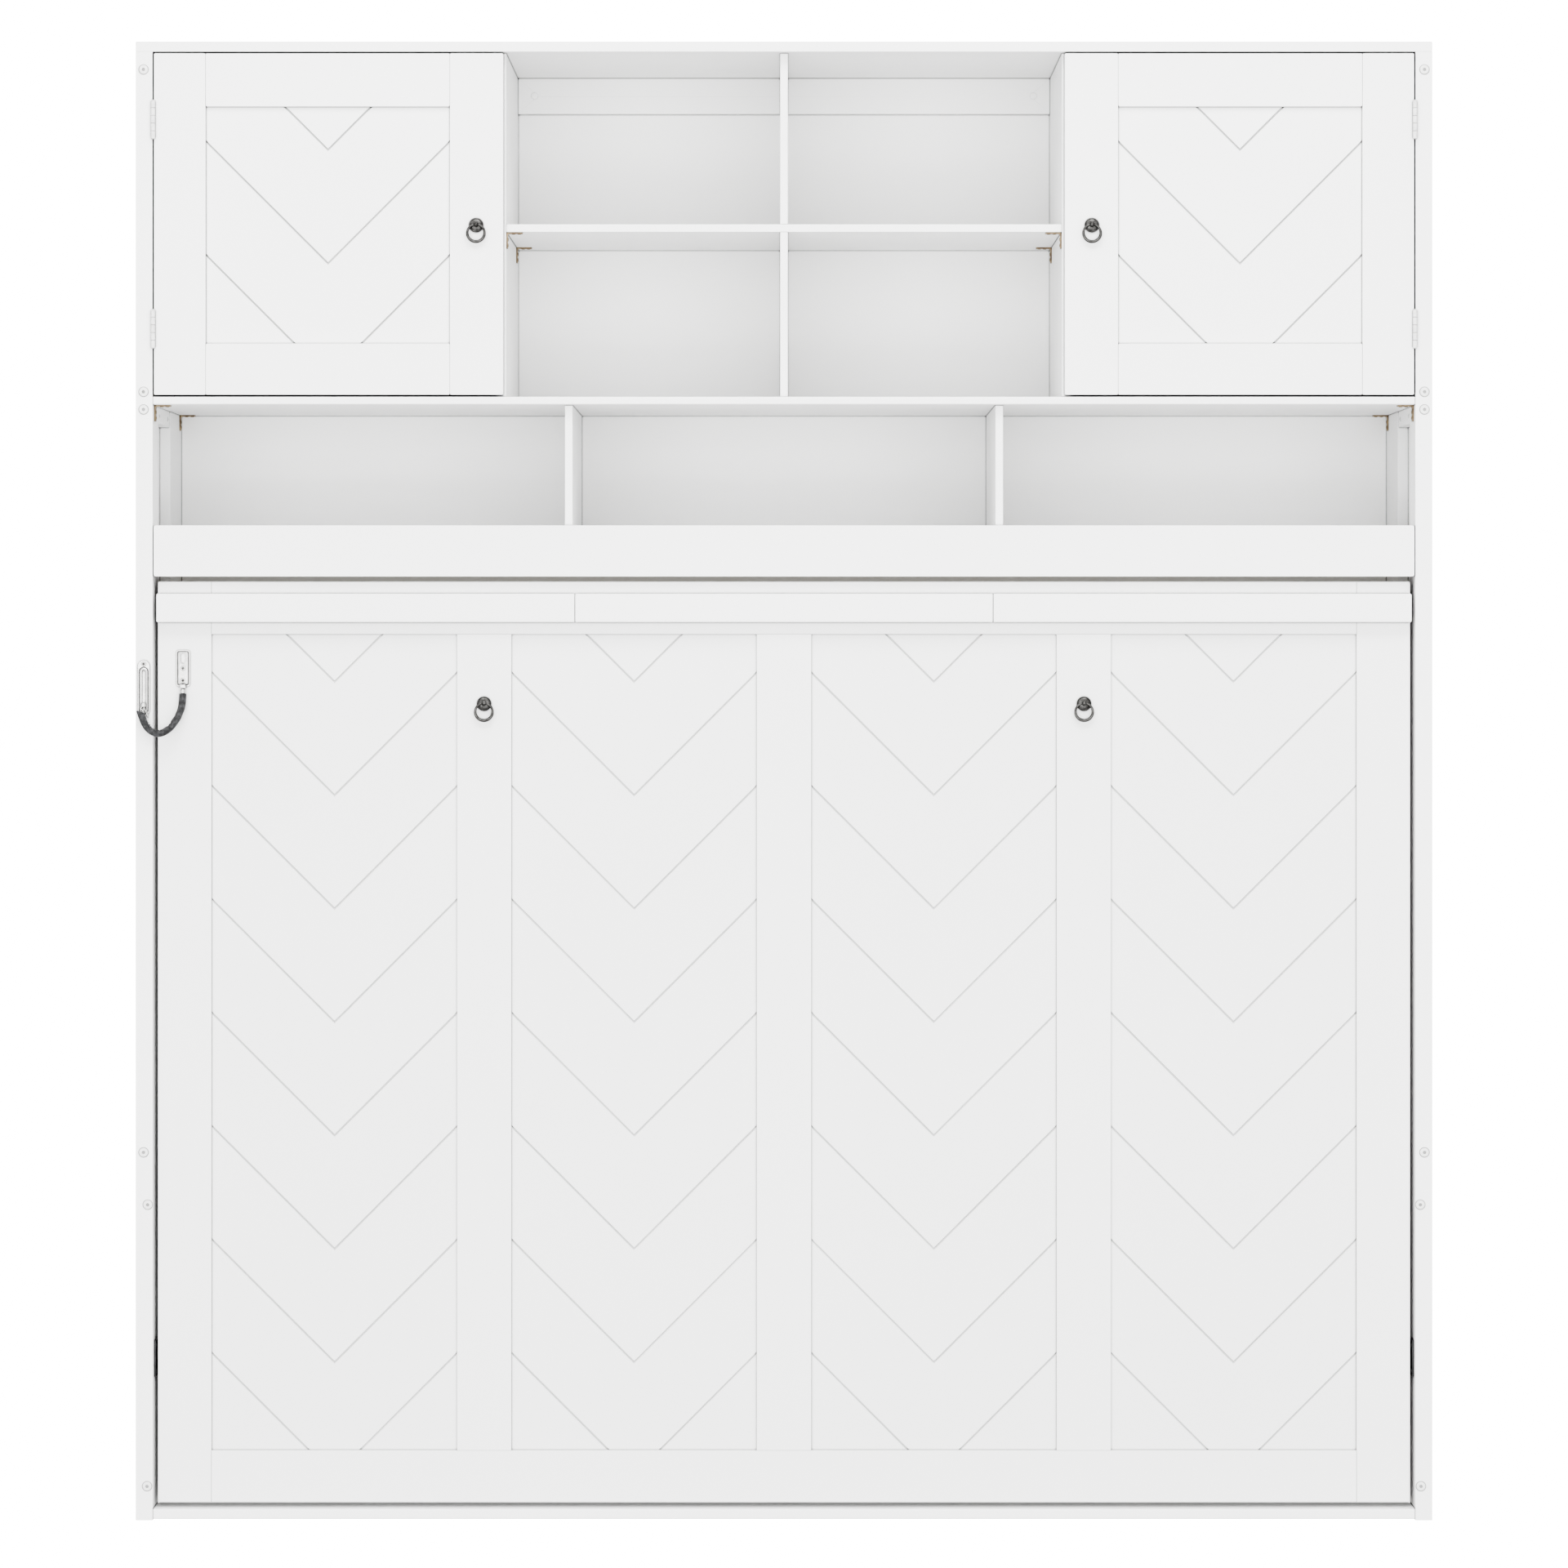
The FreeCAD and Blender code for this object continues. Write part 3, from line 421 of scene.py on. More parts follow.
def torus(bm, matrix, major, wire, steps=56, around=16):
    """A ring about the matrix's Z axis. The wire's radius is a function of the angle."""
    loops = []
    for i in range(steps):
        angle = 2 * math.pi * i / steps
        minor = wire(angle) * MM
        out = Vector((math.cos(angle), math.sin(angle), 0.0))
        loop = []
        for j in range(around):
            turn = 2 * math.pi * j / around
            rise = Vector((0, 0, minor * math.sin(turn)))
            point = out * (major * MM + minor * math.cos(turn)) + rise
            loop.append(bm.verts.new(matrix @ point))
        loops.append(loop)
    for i in range(steps):
        first, second = loops[i], loops[(i + 1) % steps]
        for j in range(around):
            k = (j + 1) % around
            bm.faces.new((first[j], second[j], second[k], first[k]))


def piece(name, bm, material, body, stands_for=(), crease=CREASE):
    """Turns a bmesh into an object of the part, on a body, in place of CAD nodes."""
    bmesh.ops.recalc_face_normals(bm, faces=list(bm.faces))
    mesh = bpy.data.meshes.new(name)
    bm.to_mesh(mesh)
    bm.free()
    mesh.shade_smooth()
    mesh.set_sharp_from_angle(angle=math.radians(crease))
    mesh.materials.append(material)
    made = bpy.data.objects.new(name, mesh)
    bpy.context.scene.collection.objects.link(made)
    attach(made, body)
    if stands_for:
        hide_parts(*stands_for)
    return made


# ---------------------------------------------------------------- boards


# The rounding of each CAD board's edges, by the finish of the board.
ROUNDINGS = {
    "upright": {
        "lower_front_posts": 3.0, "upper_front_posts": 2.0, "back_posts": 1.5,
        "lower_side_panels": 0.6, "upper_side_panels": 0.8, "cabinet_partitions": 1.0,
        "centre_dividers": 1.0, "row_dividers": 1.0, "left_door_frame": 1.8,
        "right_door_frame": 1.8, "left_door_panel": 0.35, "right_door_panel": 0.35,
    },
    "shaded_bed_frame": {"bed_face_frame": 1.8},
    "shaded_bed_panel": {"bed_face_panels": 0.35},
    "level": {
        "front_floor_rail": 2.0, "back_cross_rail": 1.2, "top_boards": 1.6, "cabinet_floor": 1.8,
        "middle_shelf": 1.0, "apron": 2.2, "row_shelf": 0.8, "bed_box_rails": 1.5,
        "left_foot_bar": 1.8, "centre_foot_bar": 1.8, "right_foot_bar": 1.8,
    },
    "deep": {"side_rails": 0.8},
    "back": {"cabinet_back_panel": 0.3, "row_back_panel": 0.3, "wall_rail": 0.8},
    "pine": {"bed_slats": 2.0},
    "pine_level": {"slat_ledgers": 1.2, "leg_guides": 0.8},
}


def finish_board(name, material, rounding):
    """Gives a CAD board its finish and takes the sharpness off its edges."""
    board = NODES[name]
    board.data.materials.clear()
    board.data.materials.append(material)
    weld = board.modifiers.new("weld", "WELD")
    weld.merge_threshold = 0.02 * MM
    ease = board.modifiers.new("ease", "BEVEL")
    ease.width = rounding * MM
    ease.segments = 2
    ease.limit_method = "ANGLE"
    ease.angle_limit = math.radians(40)
    ease.harden_normals = False


def finish_boards(paint):
    for finish, group in ROUNDINGS.items():
        for name, rounding in group.items():
            finish_board(name, paint[finish], rounding)


STILE_MIDDLES = ((-509.5, -426.0), (-42.0, 42.0), (426.0, 509.5))


def make_seam_shades(paint):
    """Dark strips on the fine lines where the stiles of the bed's face meet its rails: painted
    shade for the shade in the seams.
    """
    bm = bmesh.new()
    front, back = BED_FACE - 0.05, BED_FACE + 0.3
    heights = (
        (BED_LOW.z + 1.5, PANELS_LOW.z - 0.5),
        (PANELS_HIGH.z + 0.5, BED_HIGH.z - 1.5),
    )
    for sign in (-1, 1):
        x = sign * (PANELS_HIGH.x - 0.1)
        for low, high in heights:
            slab(bm, place(x - 0.4, front, low), place(x + 0.4, back, high))
    for z in (PANELS_LOW.z + 0.05, PANELS_HIGH.z - 0.05):
        for low, high in STILE_MIDDLES:
            slab(bm, place(low, front, z - 0.25), place(high, back, z + 0.25))
    piece("frame_seam_shades", bm, paint["joint"], "bed")


# ---------------------------------------------------------------- ring pulls


DOOR_PULL = (479.5, 2017.5)
BED_PULL = (468.0, 1272.0)
ROSETTE = (
    (11.5, 0.0), (11.5, 1.9), (11.1, 2.7), (10.3, 3.0), (9.7, 2.6), (9.2, 2.5),
    (8.6, 2.9), (7.0, 3.5), (4.6, 3.9), (3.4, 4.1), (3.0, 4.8), (2.9, 5.6),
)
BOSS_RADIUS = 4.3
BOSS_STEPS = 16
BOSS_FORWARD = 7.0
BOSS_RISE = 1.0
RING_RADIUS = 13.5


def pull_base(bm, x, z, face):
    """A dished rosette with a round boss in front that the ring hangs from."""
    lathe(bm, at_place(x, face, z), ROSETTE)
    boss = []
    for step in range(1, BOSS_STEPS):
        angle = math.pi * step / BOSS_STEPS
        boss.append((BOSS_RADIUS * math.sin(angle), BOSS_FORWARD - BOSS_RADIUS * math.cos(angle)))
    lathe(bm, at_place(x, face, z + BOSS_RISE), boss)


def ring_wire(angle):
    """The radius of the hanging ring's wire, a little thicker at its foot."""
    return 2.15 - 0.45 * math.sin(angle)


def make_ring(name, x, z, face, paint, body, node):
    bm = bmesh.new()
    middle = at_place(x, face - BOSS_FORWARD, z + BOSS_RISE - RING_RADIUS)
    torus(bm, middle, RING_RADIUS, ring_wire)
    piece(name, bm, paint["gunmetal"], body, [node], 60)


def make_pulls(paint):
    bed_bases = bmesh.new()
    for side, sign in SIDES:
        x, z = sign * DOOR_PULL[0], DOOR_PULL[1]
        bm = bmesh.new()
        pull_base(bm, x, z, 0.0)
        node = side + "_door_pull_base"
        piece(side + "_door_rosette", bm, paint["gunmetal"], side + "_door", [node])
        body, node = side + "_door_pull", side + "_door_ring"
        make_ring(side + "_door_pull_ring", x, z, 0.0, paint, body, node)
        x, z = sign * BED_PULL[0], BED_PULL[1]
        pull_base(bed_bases, x, z, BED_FACE)
        body, node = side + "_bed_pull", side + "_bed_ring"
        make_ring(side + "_bed_pull_ring", x, z, BED_FACE, paint, body, node)
    piece("bed_rosettes", bed_bases, paint["gunmetal"], "bed", ["bed_pull_bases"])


# ---------------------------------------------------------------- door hinges


HINGE_CENTRES = (1856.0, 2182.0)
HINGE_AXIS = (982.5, -3.8)
HINGE_HALF = 30.0
KNUCKLES = 5
KNUCKLE = 2 * HINGE_HALF / KNUCKLES
KNUCKLE_PROFILE = ((2.9, 0.15), (3.5, 0.75), (3.5, 11.25), (2.9, 11.85))
PIN_PROFILE = (
    (1.4, -30.6), (2.3, -30.2), (2.3, -29.8), (1.45, -29.6),
    (1.45, 29.6), (2.3, 29.8), (2.3, 30.2), (1.4, 30.6),
)
DOOR_LEAF = (981.5, 982.4)
POST_LEAF = (982.6, 983.5)
LEAF_DEPTHS = (0.3, 17.0)
TONGUE_GAP = 0.3
TONGUE_BACK = 0.5


def leaf(bm, reach, centre, knuckles, sign):
    """The thin plate in the door's gap, and the tongues that curl into its knuckles."""
    ends = sorted((sign * reach[0], sign * reach[1]))
    low = place(ends[0], LEAF_DEPTHS[0], centre - HINGE_HALF)
    high = place(ends[1], LEAF_DEPTHS[1], centre + HINGE_HALF)
    slab(bm, low, high, 0.15, 1)
    for index in knuckles:
        base = centre - HINGE_HALF + index * KNUCKLE
        low = place(ends[0], HINGE_AXIS[1], base + TONGUE_GAP)
        high = place(ends[1], TONGUE_BACK, base + KNUCKLE - TONGUE_GAP)
        slab(bm, low, high)


def make_hinges(paint):
    white = paint["white_metal"]
    posts = bmesh.new()
    pins = bmesh.new()
    for side, sign in SIDES:
        doors = bmesh.new()
        x = sign * HINGE_AXIS[0]
        for centre in HINGE_CENTRES:
            leaf(doors, DOOR_LEAF, centre, (1, 3), sign)
            leaf(posts, POST_LEAF, centre, (0, 2, 4), sign)
            for index in range(KNUCKLES):
                base = centre - HINGE_HALF + index * KNUCKLE
                matrix = at_place(x, HINGE_AXIS[1], base, TO_TOP)
                lathe(doors if index % 2 else posts, matrix, KNUCKLE_PROFILE, 24)
            lathe(pins, at_place(x, HINGE_AXIS[1], centre, TO_TOP), PIN_PROFILE, 16)
        node, body = side + "_door_hinge_leaves", side + "_door"
        piece(side + "_door_leaves", doors, white, body, [node])
    piece("post_leaves", posts, white, "carcass", ["hinge_post_leaves"])
    piece("pins_of_hinges", pins, white, "carcass", ["hinge_pins"])


# ---------------------------------------------------------------- bolts, brackets and screws


BOLTS = (
    (997.5, 2260.0), (997.5, 1758.0), (997.5, 1730.5),
    (997.5, 573.5), (991.0, 492.0), (992.0, 53.5),
)
BOLT_RADIUS = 7.0
BOLT_HEIGHT = 2.0
BOLT_FLATS = 5.0
BOLT_SINK = 1.6
WASHER = ((8.0, 0.0), (8.0, 0.4), (7.7, 0.6), (6.0, 0.6))


def make_bolts(paint):
    bm = bmesh.new()
    washers = bmesh.new()
    for sign in (-1, 1):
        for x, z in BOLTS:
            # Each bolt came to rest at its own angle.
            turn = Matrix.Rotation(math.radians(x + z), 4, "Z")
            matrix = at_place(sign * x, 0.0, z) @ turn
            headed(bm, matrix, BOLT_RADIUS, BOLT_HEIGHT, hexagon(BOLT_FLATS), BOLT_SINK)
            lathe(washers, matrix, WASHER)
    piece("post_bolts", bm, paint["bolt"], "carcass", ["frame_bolts"])
    piece("bolt_washers", washers, paint["washer"], "carcass")


def bracket(bm, wall, depth, under, sign):
    """A bent strip in the corner under a board, with a round bend and two screws a leg."""
    leg, thick, width, bend = 25.0, 2.0, 16.0, 3.0
    outside = [(-leg, 0.0), (-leg, -thick)]
    for step in range(5):
        angle = math.radians(90 * step / 4)
        across = -thick - bend + bend * math.sin(angle)
        outside.append((across, -thick - bend + bend * math.cos(angle)))
    outside += [(-thick, -leg), (0.0, -leg), (0.0, -1.0), (-1.0, 0.0)]
    rings = []
    for reach in (0.0, width):
        rings.append([place(sign * (wall + x), depth + reach, under + z) for x, z in outside])
    made = rings_of(bm, Matrix.Identity(4), rings)
    bm.faces.new(reversed(made[0]))
    bm.faces.new(made[-1])
    middle = depth + width / 2
    for reach in (11.0, 20.0):
        into_board = at_place(sign * (wall - reach), middle, under - thick, TO_FLOOR)
        into_wall = at_place(sign * (wall - thick), middle, under - reach, to_side(-sign))
        screw(bm, into_board, BRACKET_SCREW)
        screw(bm, into_wall, BRACKET_SCREW)


def make_brackets(paint):
    shelf_low, shelf_high = corners("middle_shelf")
    cabinet_floor_low = corners("cabinet_floor")[0]
    bm = bmesh.new()
    for sign in (-1, 1):
        for depth in (25.0, 343.0):
            bracket(bm, shelf_high.x, depth, shelf_low.z, sign)
        for depth in (22.0, 382.0):
            bracket(bm, INNER, depth, cabinet_floor_low.z, sign)
    piece("corner_brackets", bm, paint["gilt"], "carcass", ["shelf_brackets"])


RAIL_SCREW_X = 985.0
RAIL_SCREW_Z = 1725.0
RAIL_SCREW_DEPTHS = (105.0, 225.0)
SIDE_SCREW_DEPTH = 335.0
SIDE_SCREW_HEIGHTS = (100.0, 560.0, 1100.0, 1600.0)
BACK_SCREW_PITCH = 310.0
BACK_SCREW_HEIGHTS = (1715.0, 1765.0, 2262.0)


def make_frame_screws(paint):
    """The small screws in the row's side rails, the back posts' sides and the back boards."""
    bm = bmesh.new()
    for sign in (-1, 1):
        for depth in RAIL_SCREW_DEPTHS:
            inward = at_place(sign * RAIL_SCREW_X, depth, RAIL_SCREW_Z, to_side(-sign))
            screw(bm, inward, WOOD_SCREW)
        for z in SIDE_SCREW_HEIGHTS:
            screw(bm, at_place(sign * OUTER, SIDE_SCREW_DEPTH, z, to_side(sign)), WOOD_SCREW)
    for column in range(-3, 4):
        for z in BACK_SCREW_HEIGHTS:
            screw(bm, at_place(column * BACK_SCREW_PITCH, BACK, z, TO_BACK), BACK_SCREW)
    piece("frame_screws", bm, paint["bolt"], "carcass")


WALL_HOLE_X = 406.4
CAP = ((5.5, 0.0), (5.5, 0.5), (5.0, 1.0), (3.6, 1.4), (1.6, 1.55))


def make_wall_hole_caps(paint):
    """Caps over the wall rail's two screw holes."""
    rail_low, rail_high = corners("wall_rail")
    bm = bmesh.new()
    for sign in (-1, 1):
        lathe(bm, at_place(sign * WALL_HOLE_X, rail_low.y, (rail_low.z + rail_high.z) / 2), CAP)
    piece("wall_hole_caps", bm, paint["back"], "carcass")


SLATS = 14
SLAT_PITCH = 135.0
SLAT_SCREW_OFFSET = 18.0
SLAT_SCREW_HEIGHTS = (57.0, 745.0, 1398.0)


def make_slat_screws(paint):
    slat_back = corners("bed_slats")[1].y
    bm = bmesh.new()
    for index in range(SLATS):
        for z in SLAT_SCREW_HEIGHTS:
            for sign in (-1, 1):
                x = (index - (SLATS - 1) / 2) * SLAT_PITCH + sign * SLAT_SCREW_OFFSET
                screw(bm, at_place(x, slat_back, z, TO_BACK), WOOD_SCREW)
    piece("slat_screws", bm, paint["gilt"], "bed")


# ---------------------------------------------------------------- pivots, struts and feet


PIVOT_PIN_X = 956.0
PIVOT_PIN = ((5.4, 0.0), (6.0, 0.8), (6.0, 24.0), (9.5, 24.1), (9.5, 25.2), (9.0, 25.6))
BUSH_LENGTH = 18.0
BUSH_RADII = (6.1, 9.0)
PLATE_THICKNESS = 3.0
PLATE_SCREWS = (19.0, 20.0)


def make_pivots(paint):
    plate_low, plate_high = corners("pivot_plates")
    pivot = (plate_low + plate_high) / 2
    inner, outer = BUSH_RADII
    rim = ((inner, 0.0), (outer, 0.0), (outer, BUSH_LENGTH), (inner, BUSH_LENGTH), (inner, 0.0))
    plates = bmesh.new()
    bushes = bmesh.new()
    for sign in (-1, 1):
        plate_face = INNER - PLATE_THICKNESS
        ends = sorted((sign * plate_face, sign * INNER))
        low = place(ends[0], plate_low.y, plate_low.z)
        slab(plates, low, place(ends[1], plate_high.y, plate_high.z), 1.0)
        lathe(plates, at_place(sign * PIVOT_PIN_X, pivot.y, pivot.z, to_side(sign)), PIVOT_PIN)
        for back in (-1, 1):
            for up in (-1, 1):
                depth, z = pivot.y + back * PLATE_SCREWS[0], pivot.z + up * PLATE_SCREWS[1]
                screw(plates, at_place(sign * plate_face, depth, z, to_side(-sign)), WOOD_SCREW)
        matrix = at_place(sign * (BED_HIGH.x - BUSH_LENGTH), pivot.y, pivot.z, to_side(sign))
        rings = rings_of(bushes, matrix, [circle(radius, height) for radius, height in rim])
        bmesh.ops.remove_doubles(bushes, verts=rings[0] + rings[-1], dist=1e-7)
    steel = paint["black_steel"]
    piece("pivot_brackets", plates, steel, "carcass", ["pivot_plates"])
    piece("side_bushes", bushes, paint["nylon"], "bed", ["pivot_bushes"])


# The depth and height of a strut's upper and lower eye, with the bed up.
STRUT_TOP = (130.0, 574.0)
STRUT_FOOT = (96.0, 140.0)
STRUT_X = 988.5
STRUT_LENGTH = math.dist(STRUT_TOP, STRUT_FOOT)
STRUT_MOUNT_X = 998.0
EYE_WIDTH = 9.0
EYE = ((8.0, 0.0), (11.4, 0.0), (12.0, 0.8), (12.0, 8.2), (11.4, 9.0), (8.0, 9.0))
TUBE = (
    (3.9, 10.0), (3.9, 15.0), (6.6, 15.6), (7.3, 17.0), (7.5, 19.0), (7.5, 206.0), (7.1, 207.0),
    (7.1, 209.0), (7.5, 210.0), (7.5, 213.5), (6.4, 215.0), (4.3, 215.0),
)
ROD = (
    (3.4, STRUT_LENGTH - 235.0), (4.0, STRUT_LENGTH - 234.0), (4.0, STRUT_LENGTH - 14.0),
    (5.2, STRUT_LENGTH - 13.0), (5.2, STRUT_LENGTH - 9.0),
)
UPPER_STUD = ((11.0, 0.0), (11.0, 1.6), (10.4, 2.0), (4.0, 2.1), (4.0, 13.2), (3.4, 14.0))
LOWER_STUD = ((9.0, 0.0), (9.0, 2.6), (8.4, 3.4), (7.0, 4.0))


def down_strut(sign):
    """A matrix at the strut's upper eye, its Z axis pointing down towards the lower eye."""
    top = place(sign * STRUT_X, *STRUT_TOP)
    foot = place(sign * STRUT_X, *STRUT_FOOT)
    turn = (foot - top).normalized().to_track_quat("Z", "X").to_matrix().to_4x4()
    return Matrix.Translation(top) @ turn


def strut_part(sign, profile, eye):
    """A turned part on the strut's line, with a flat eye at one end."""
    bm = bmesh.new()
    lathe(bm, down_strut(sign), profile)
    lathe(bm, at_place(sign * (STRUT_X - EYE_WIDTH / 2), *eye, to_side(sign)), EYE)
    return bm


def make_struts(paint):
    mounts = bmesh.new()
    studs = bmesh.new()
    steel = paint["black_steel"]
    for side, sign in SIDES:
        tube = strut_part(sign, TUBE, STRUT_TOP)
        node, body = side + "_strut_tube", side + "_strut_cylinder"
        piece(side + "_strut_barrel", tube, steel, body, [node])
        rod = strut_part(sign, ROD, STRUT_FOOT)
        node, body = side + "_strut_rod", side + "_strut_piston"
        piece(side + "_strut_shaft", rod, paint["rod"], body, [node])
        lathe(mounts, at_place(sign * STRUT_MOUNT_X, *STRUT_TOP, to_side(-sign)), UPPER_STUD)
        lathe(studs, at_place(sign * BED_HIGH.x, *STRUT_FOOT, to_side(sign)), LOWER_STUD)
    piece("strut_upper_studs", mounts, steel, "carcass", ["strut_mounts"])
    piece("strut_lower_studs", studs, steel, "bed", ["strut_bed_studs"])


FEET = (("left", -651.6), ("centre", 0.0), ("right", 651.6))
FOOT_POST_OFFSET = 220.0
FOOT_POST_Z = 1432.0
FOOT_TUBE = ((10.0, 0.0), (10.0, 266.0))
FOOT_CAP = ((9.9, 265.5), (10.0, 266.0), (10.0, 269.0), (9.2, 270.0), (3.0, 270.0))


def make_foot_posts(paint):
    for name, centre in FEET:
        tubes, caps = bmesh.new(), bmesh.new()
        for sign in (-1, 1):
            matrix = at_place(centre + sign * FOOT_POST_OFFSET, BED_FACE, FOOT_POST_Z, TO_BACK)
            lathe(tubes, matrix, FOOT_TUBE)
            lathe(caps, matrix, FOOT_CAP)
        node, body = name + "_foot_posts", name + "_foot"
        piece(name + "_foot_tubes", tubes, paint["foot_steel"], body, [node])
        piece(name + "_foot_caps", caps, paint["nylon"], body)


# ---------------------------------------------------------------- chain guard


SLEEVE_ROUTE = (
    (-937.5, 9.0, 1288.0),
    (-937.5, 9.0, 1272.0),
    (-942.5, 2.5, 1254.5),
    (-952.5, -4.0, 1237.5),
    (-965.0, -8.5, 1227.0),
    (-978.7, -10.5, 1225.6),
    (-989.8, -12.0, 1233.8),
    (-997.0, -12.6, 1246.5),
    (-1001.0, -12.8, 1259.0),
)
SLEEVE_RADIUS = 5.0
SLEEVE_AROUND = 48
ROUTE_SAMPLES = 30
KEEPER_X, CHAIN_DEPTH, CHAIN_TOP = SLEEVE_ROUTE[0]

# Where the gathers lie along the sleeve, as shares of its length.
BUNCH_MIDDLE = 0.72
BUNCH_REACH = 0.15
GATHER_PITCH = 4.3
# Each fold's place and width as shares of the length, its depth, and the angle that it faces.
FOLDS = ((0.30, 0.03, 0.14, 1.3), (0.42, 0.018, 0.34, 0.8), (0.465, 0.018, 0.30, 1.1))
# The cut end at the track: where the slant starts, and how steep it gets.
SLANT_START = 0.94
SLANT = 0.7


def route_line(points, samples):
    """The smooth line that a quadratic NURBS spline draws through its control points."""
    curve = bpy.data.curves.new("route", "CURVE")
    curve.dimensions = "3D"
    curve.resolution_u = samples
    spline = curve.splines.new("NURBS")
    spline.points.add(len(points) - 1)
    for target, point in zip(spline.points, points):
        target.co = (*place(*point), 1.0)
    spline.order_u = 3
    spline.use_endpoint_u = True
    holder = bpy.data.objects.new("route", curve)
    bpy.context.scene.collection.objects.link(holder)
    bpy.context.view_layer.update()
    evaluated = holder.evaluated_get(bpy.context.evaluated_depsgraph_get())
    mesh = bpy.data.meshes.new_from_object(evaluated)
    line = [vertex.co.copy() for vertex in mesh.vertices]
    bpy.data.meshes.remove(mesh)
    bpy.data.objects.remove(holder)
    bpy.data.curves.remove(curve)
    return line


def gathers(travel, angle, total):
    """The sleeve's radius as a share: flattened, smooth outside the bend and buckled inside it.

    The angle is 0 towards the front and a quarter turn towards the inside of the bend.
    """
    along = travel / total
    inner = min(max((math.sin(angle) + 0.55) / 0.9, 0.0), 1.0)
    bunch = math.exp(-((along - BUNCH_MIDDLE) / BUNCH_REACH) ** 4)
    spot = Vector((math.cos(angle) * 0.8, math.sin(angle) * 0.8, travel / (7 * MM)))
    wander = 1.9 * field.noise(spot) + 0.7 * math.cos(angle + 0.6)
    phase = math.pi * travel / (GATHER_PITCH * MM) + wander
    crease = -0.48 * bunch * inner * (1 - abs(math.sin(phase))) ** 2.2
    swell = 0.07 * field.noise(spot * 0.8 + Vector((3.1, 0.0, 0.0)))
    fold = 0.0
    for centre, width, depth, lean in FOLDS:
        reach = (along - centre - 0.03 * math.cos(angle)) / width
        fold -= depth * math.exp(-reach ** 2) * max(math.cos(angle - lean), 0.0)
    flattened = 1.06 - 0.09 * math.cos(2 * angle)
    return max(flattened + crease + swell + fold, 0.75)


def make_sleeve(paint):
    """The gathered cloth round the route, with its ends turned in, and the route's line."""
    line = route_line(SLEEVE_ROUTE, ROUTE_SAMPLES)
    steps = len(line)
    travel = [0.0]
    for before, after in zip(line, line[1:]):
        travel.append(travel[-1] + (after - before).length)
    total = travel[-1]
    bm = bmesh.new()
    loops = []
    side = Vector((0.0, -1.0, 0.0))
    for i in range(steps):
        ahead = line[min(i + 1, steps - 1)] - line[max(i - 1, 0)]
        ahead.normalize()
        side = (side - ahead * side.dot(ahead)).normalized()
        other = ahead.cross(side)
        loop = []
        slant = SLANT * max(travel[i] / total - SLANT_START, 0.0) / (1 - SLANT_START)
        for j in range(SLEEVE_AROUND):
            angle = 2 * math.pi * j / SLEEVE_AROUND
            radius = SLEEVE_RADIUS * MM * gathers(travel[i], angle, total)
            out = side * math.cos(angle) + (other - ahead * slant) * math.sin(angle)
            loop.append(bm.verts.new(line[i] + out * radius))
        loops.append(loop)
    for first, second in zip(loops, loops[1:]):
        for j in range(SLEEVE_AROUND):
            k = (j + 1) % SLEEVE_AROUND
            bm.faces.new((first[j], first[k], second[k], second[j]))
    for loop, point in ((loops[0], line[1]), (loops[-1], line[-2])):
        rim = [bm.verts.new(point + (vertex.co - point) * 0.72) for vertex in loop]
        for j in range(SLEEVE_AROUND):
            k = (j + 1) % SLEEVE_AROUND
            bm.faces.new((loop[j], loop[k], rim[k], rim[j]))
        bm.faces.new(rim)
    cloth = paint["cloth"]
    sleeve = piece("chain_sleeve_cloth", bm, cloth, "chain", ["chain_sleeve"], 75)
    return sleeve, line


LINK_WIRE = 1.0
LINK_HALF_WIDTH = 2.6
COLLAR = ((3.4, 0.2), (4.4, 0.8), (4.5, 2.0), (4.2, 2.6), (4.4, 3.2), (4.4, 5.8), (3.6, 6.8))
BUTTON = ((1.7, 0.8), (1.7, 5.0), (4.2, 5.2), (4.5, 6.2), (4.5, 9.0), (3.9, 11.2), (2.4, 12.4))
BUTTON_Z = 1270.0


def oval_link(bm, start, end, tilt, width=LINK_HALF_WIDTH):
    """A chain link from one point to another: an oval of round wire."""
    middle = (start + end) / 2
    along = end - start
    turn = along.to_track_quat("X", "Z").to_matrix().to_4x4() @ Matrix.Rotation(tilt, 4, "X")
    stretch = Matrix.Diagonal((along.length / 2 / (width * MM), 1.0, 1.0, 1.0))
    matrix = Matrix.Translation(middle) @ turn @ stretch
    torus(bm, matrix, width, lambda angle: LINK_WIRE, 28, 10)


def make_chain_ends(paint, line):
    """The swivel under the keeper, and the links and button that hook in the track."""
    bm = bmesh.new()
    lathe(bm, at_place(KEEPER_X, CHAIN_DEPTH, CHAIN_TOP, TO_TOP), COLLAR)
    lathe(bm, at_place(TRACK_X, 0.0, BUTTON_Z), BUTTON)
    hook = place(TRACK_X, -10.5, BUTTON_Z - 3.5)
    low = place(TRACK_X + 5.5, -5.2, 1258.5)
    tip = line[-1]
    middle = tip.lerp(hook, 0.5)
    oval_link(bm, tip.lerp(line[-6], 1.2), middle, 0.3)
    oval_link(bm, middle.lerp(tip, 0.25), hook + shift(0.0, 0.0, 1.5), 1.7)
    oval_link(bm, hook + shift(1.0, 1.5, -1.0), low, 0.9)
    oval_link(bm, low + shift(-1.5, 0.0, 3.0), low + shift(1.5, 0.0, -7.0), 0.1, 2.4)
    return piece("chain_links", bm, paint["nickel"], "chain", ["chain_ends"], 40)


def recess_shade_disc(name, places, height, paint, body):
    """A dark disc on the floor of a screw's cross recess, a hair above the head's own: painted
    shade in the recess.
    """
    bm = bmesh.new()
    for matrix in places:
        lathe(bm, matrix, ((2.5, 0.05), (2.5, height)), 16)
    piece(name, bm, paint["gunmetal"], body)


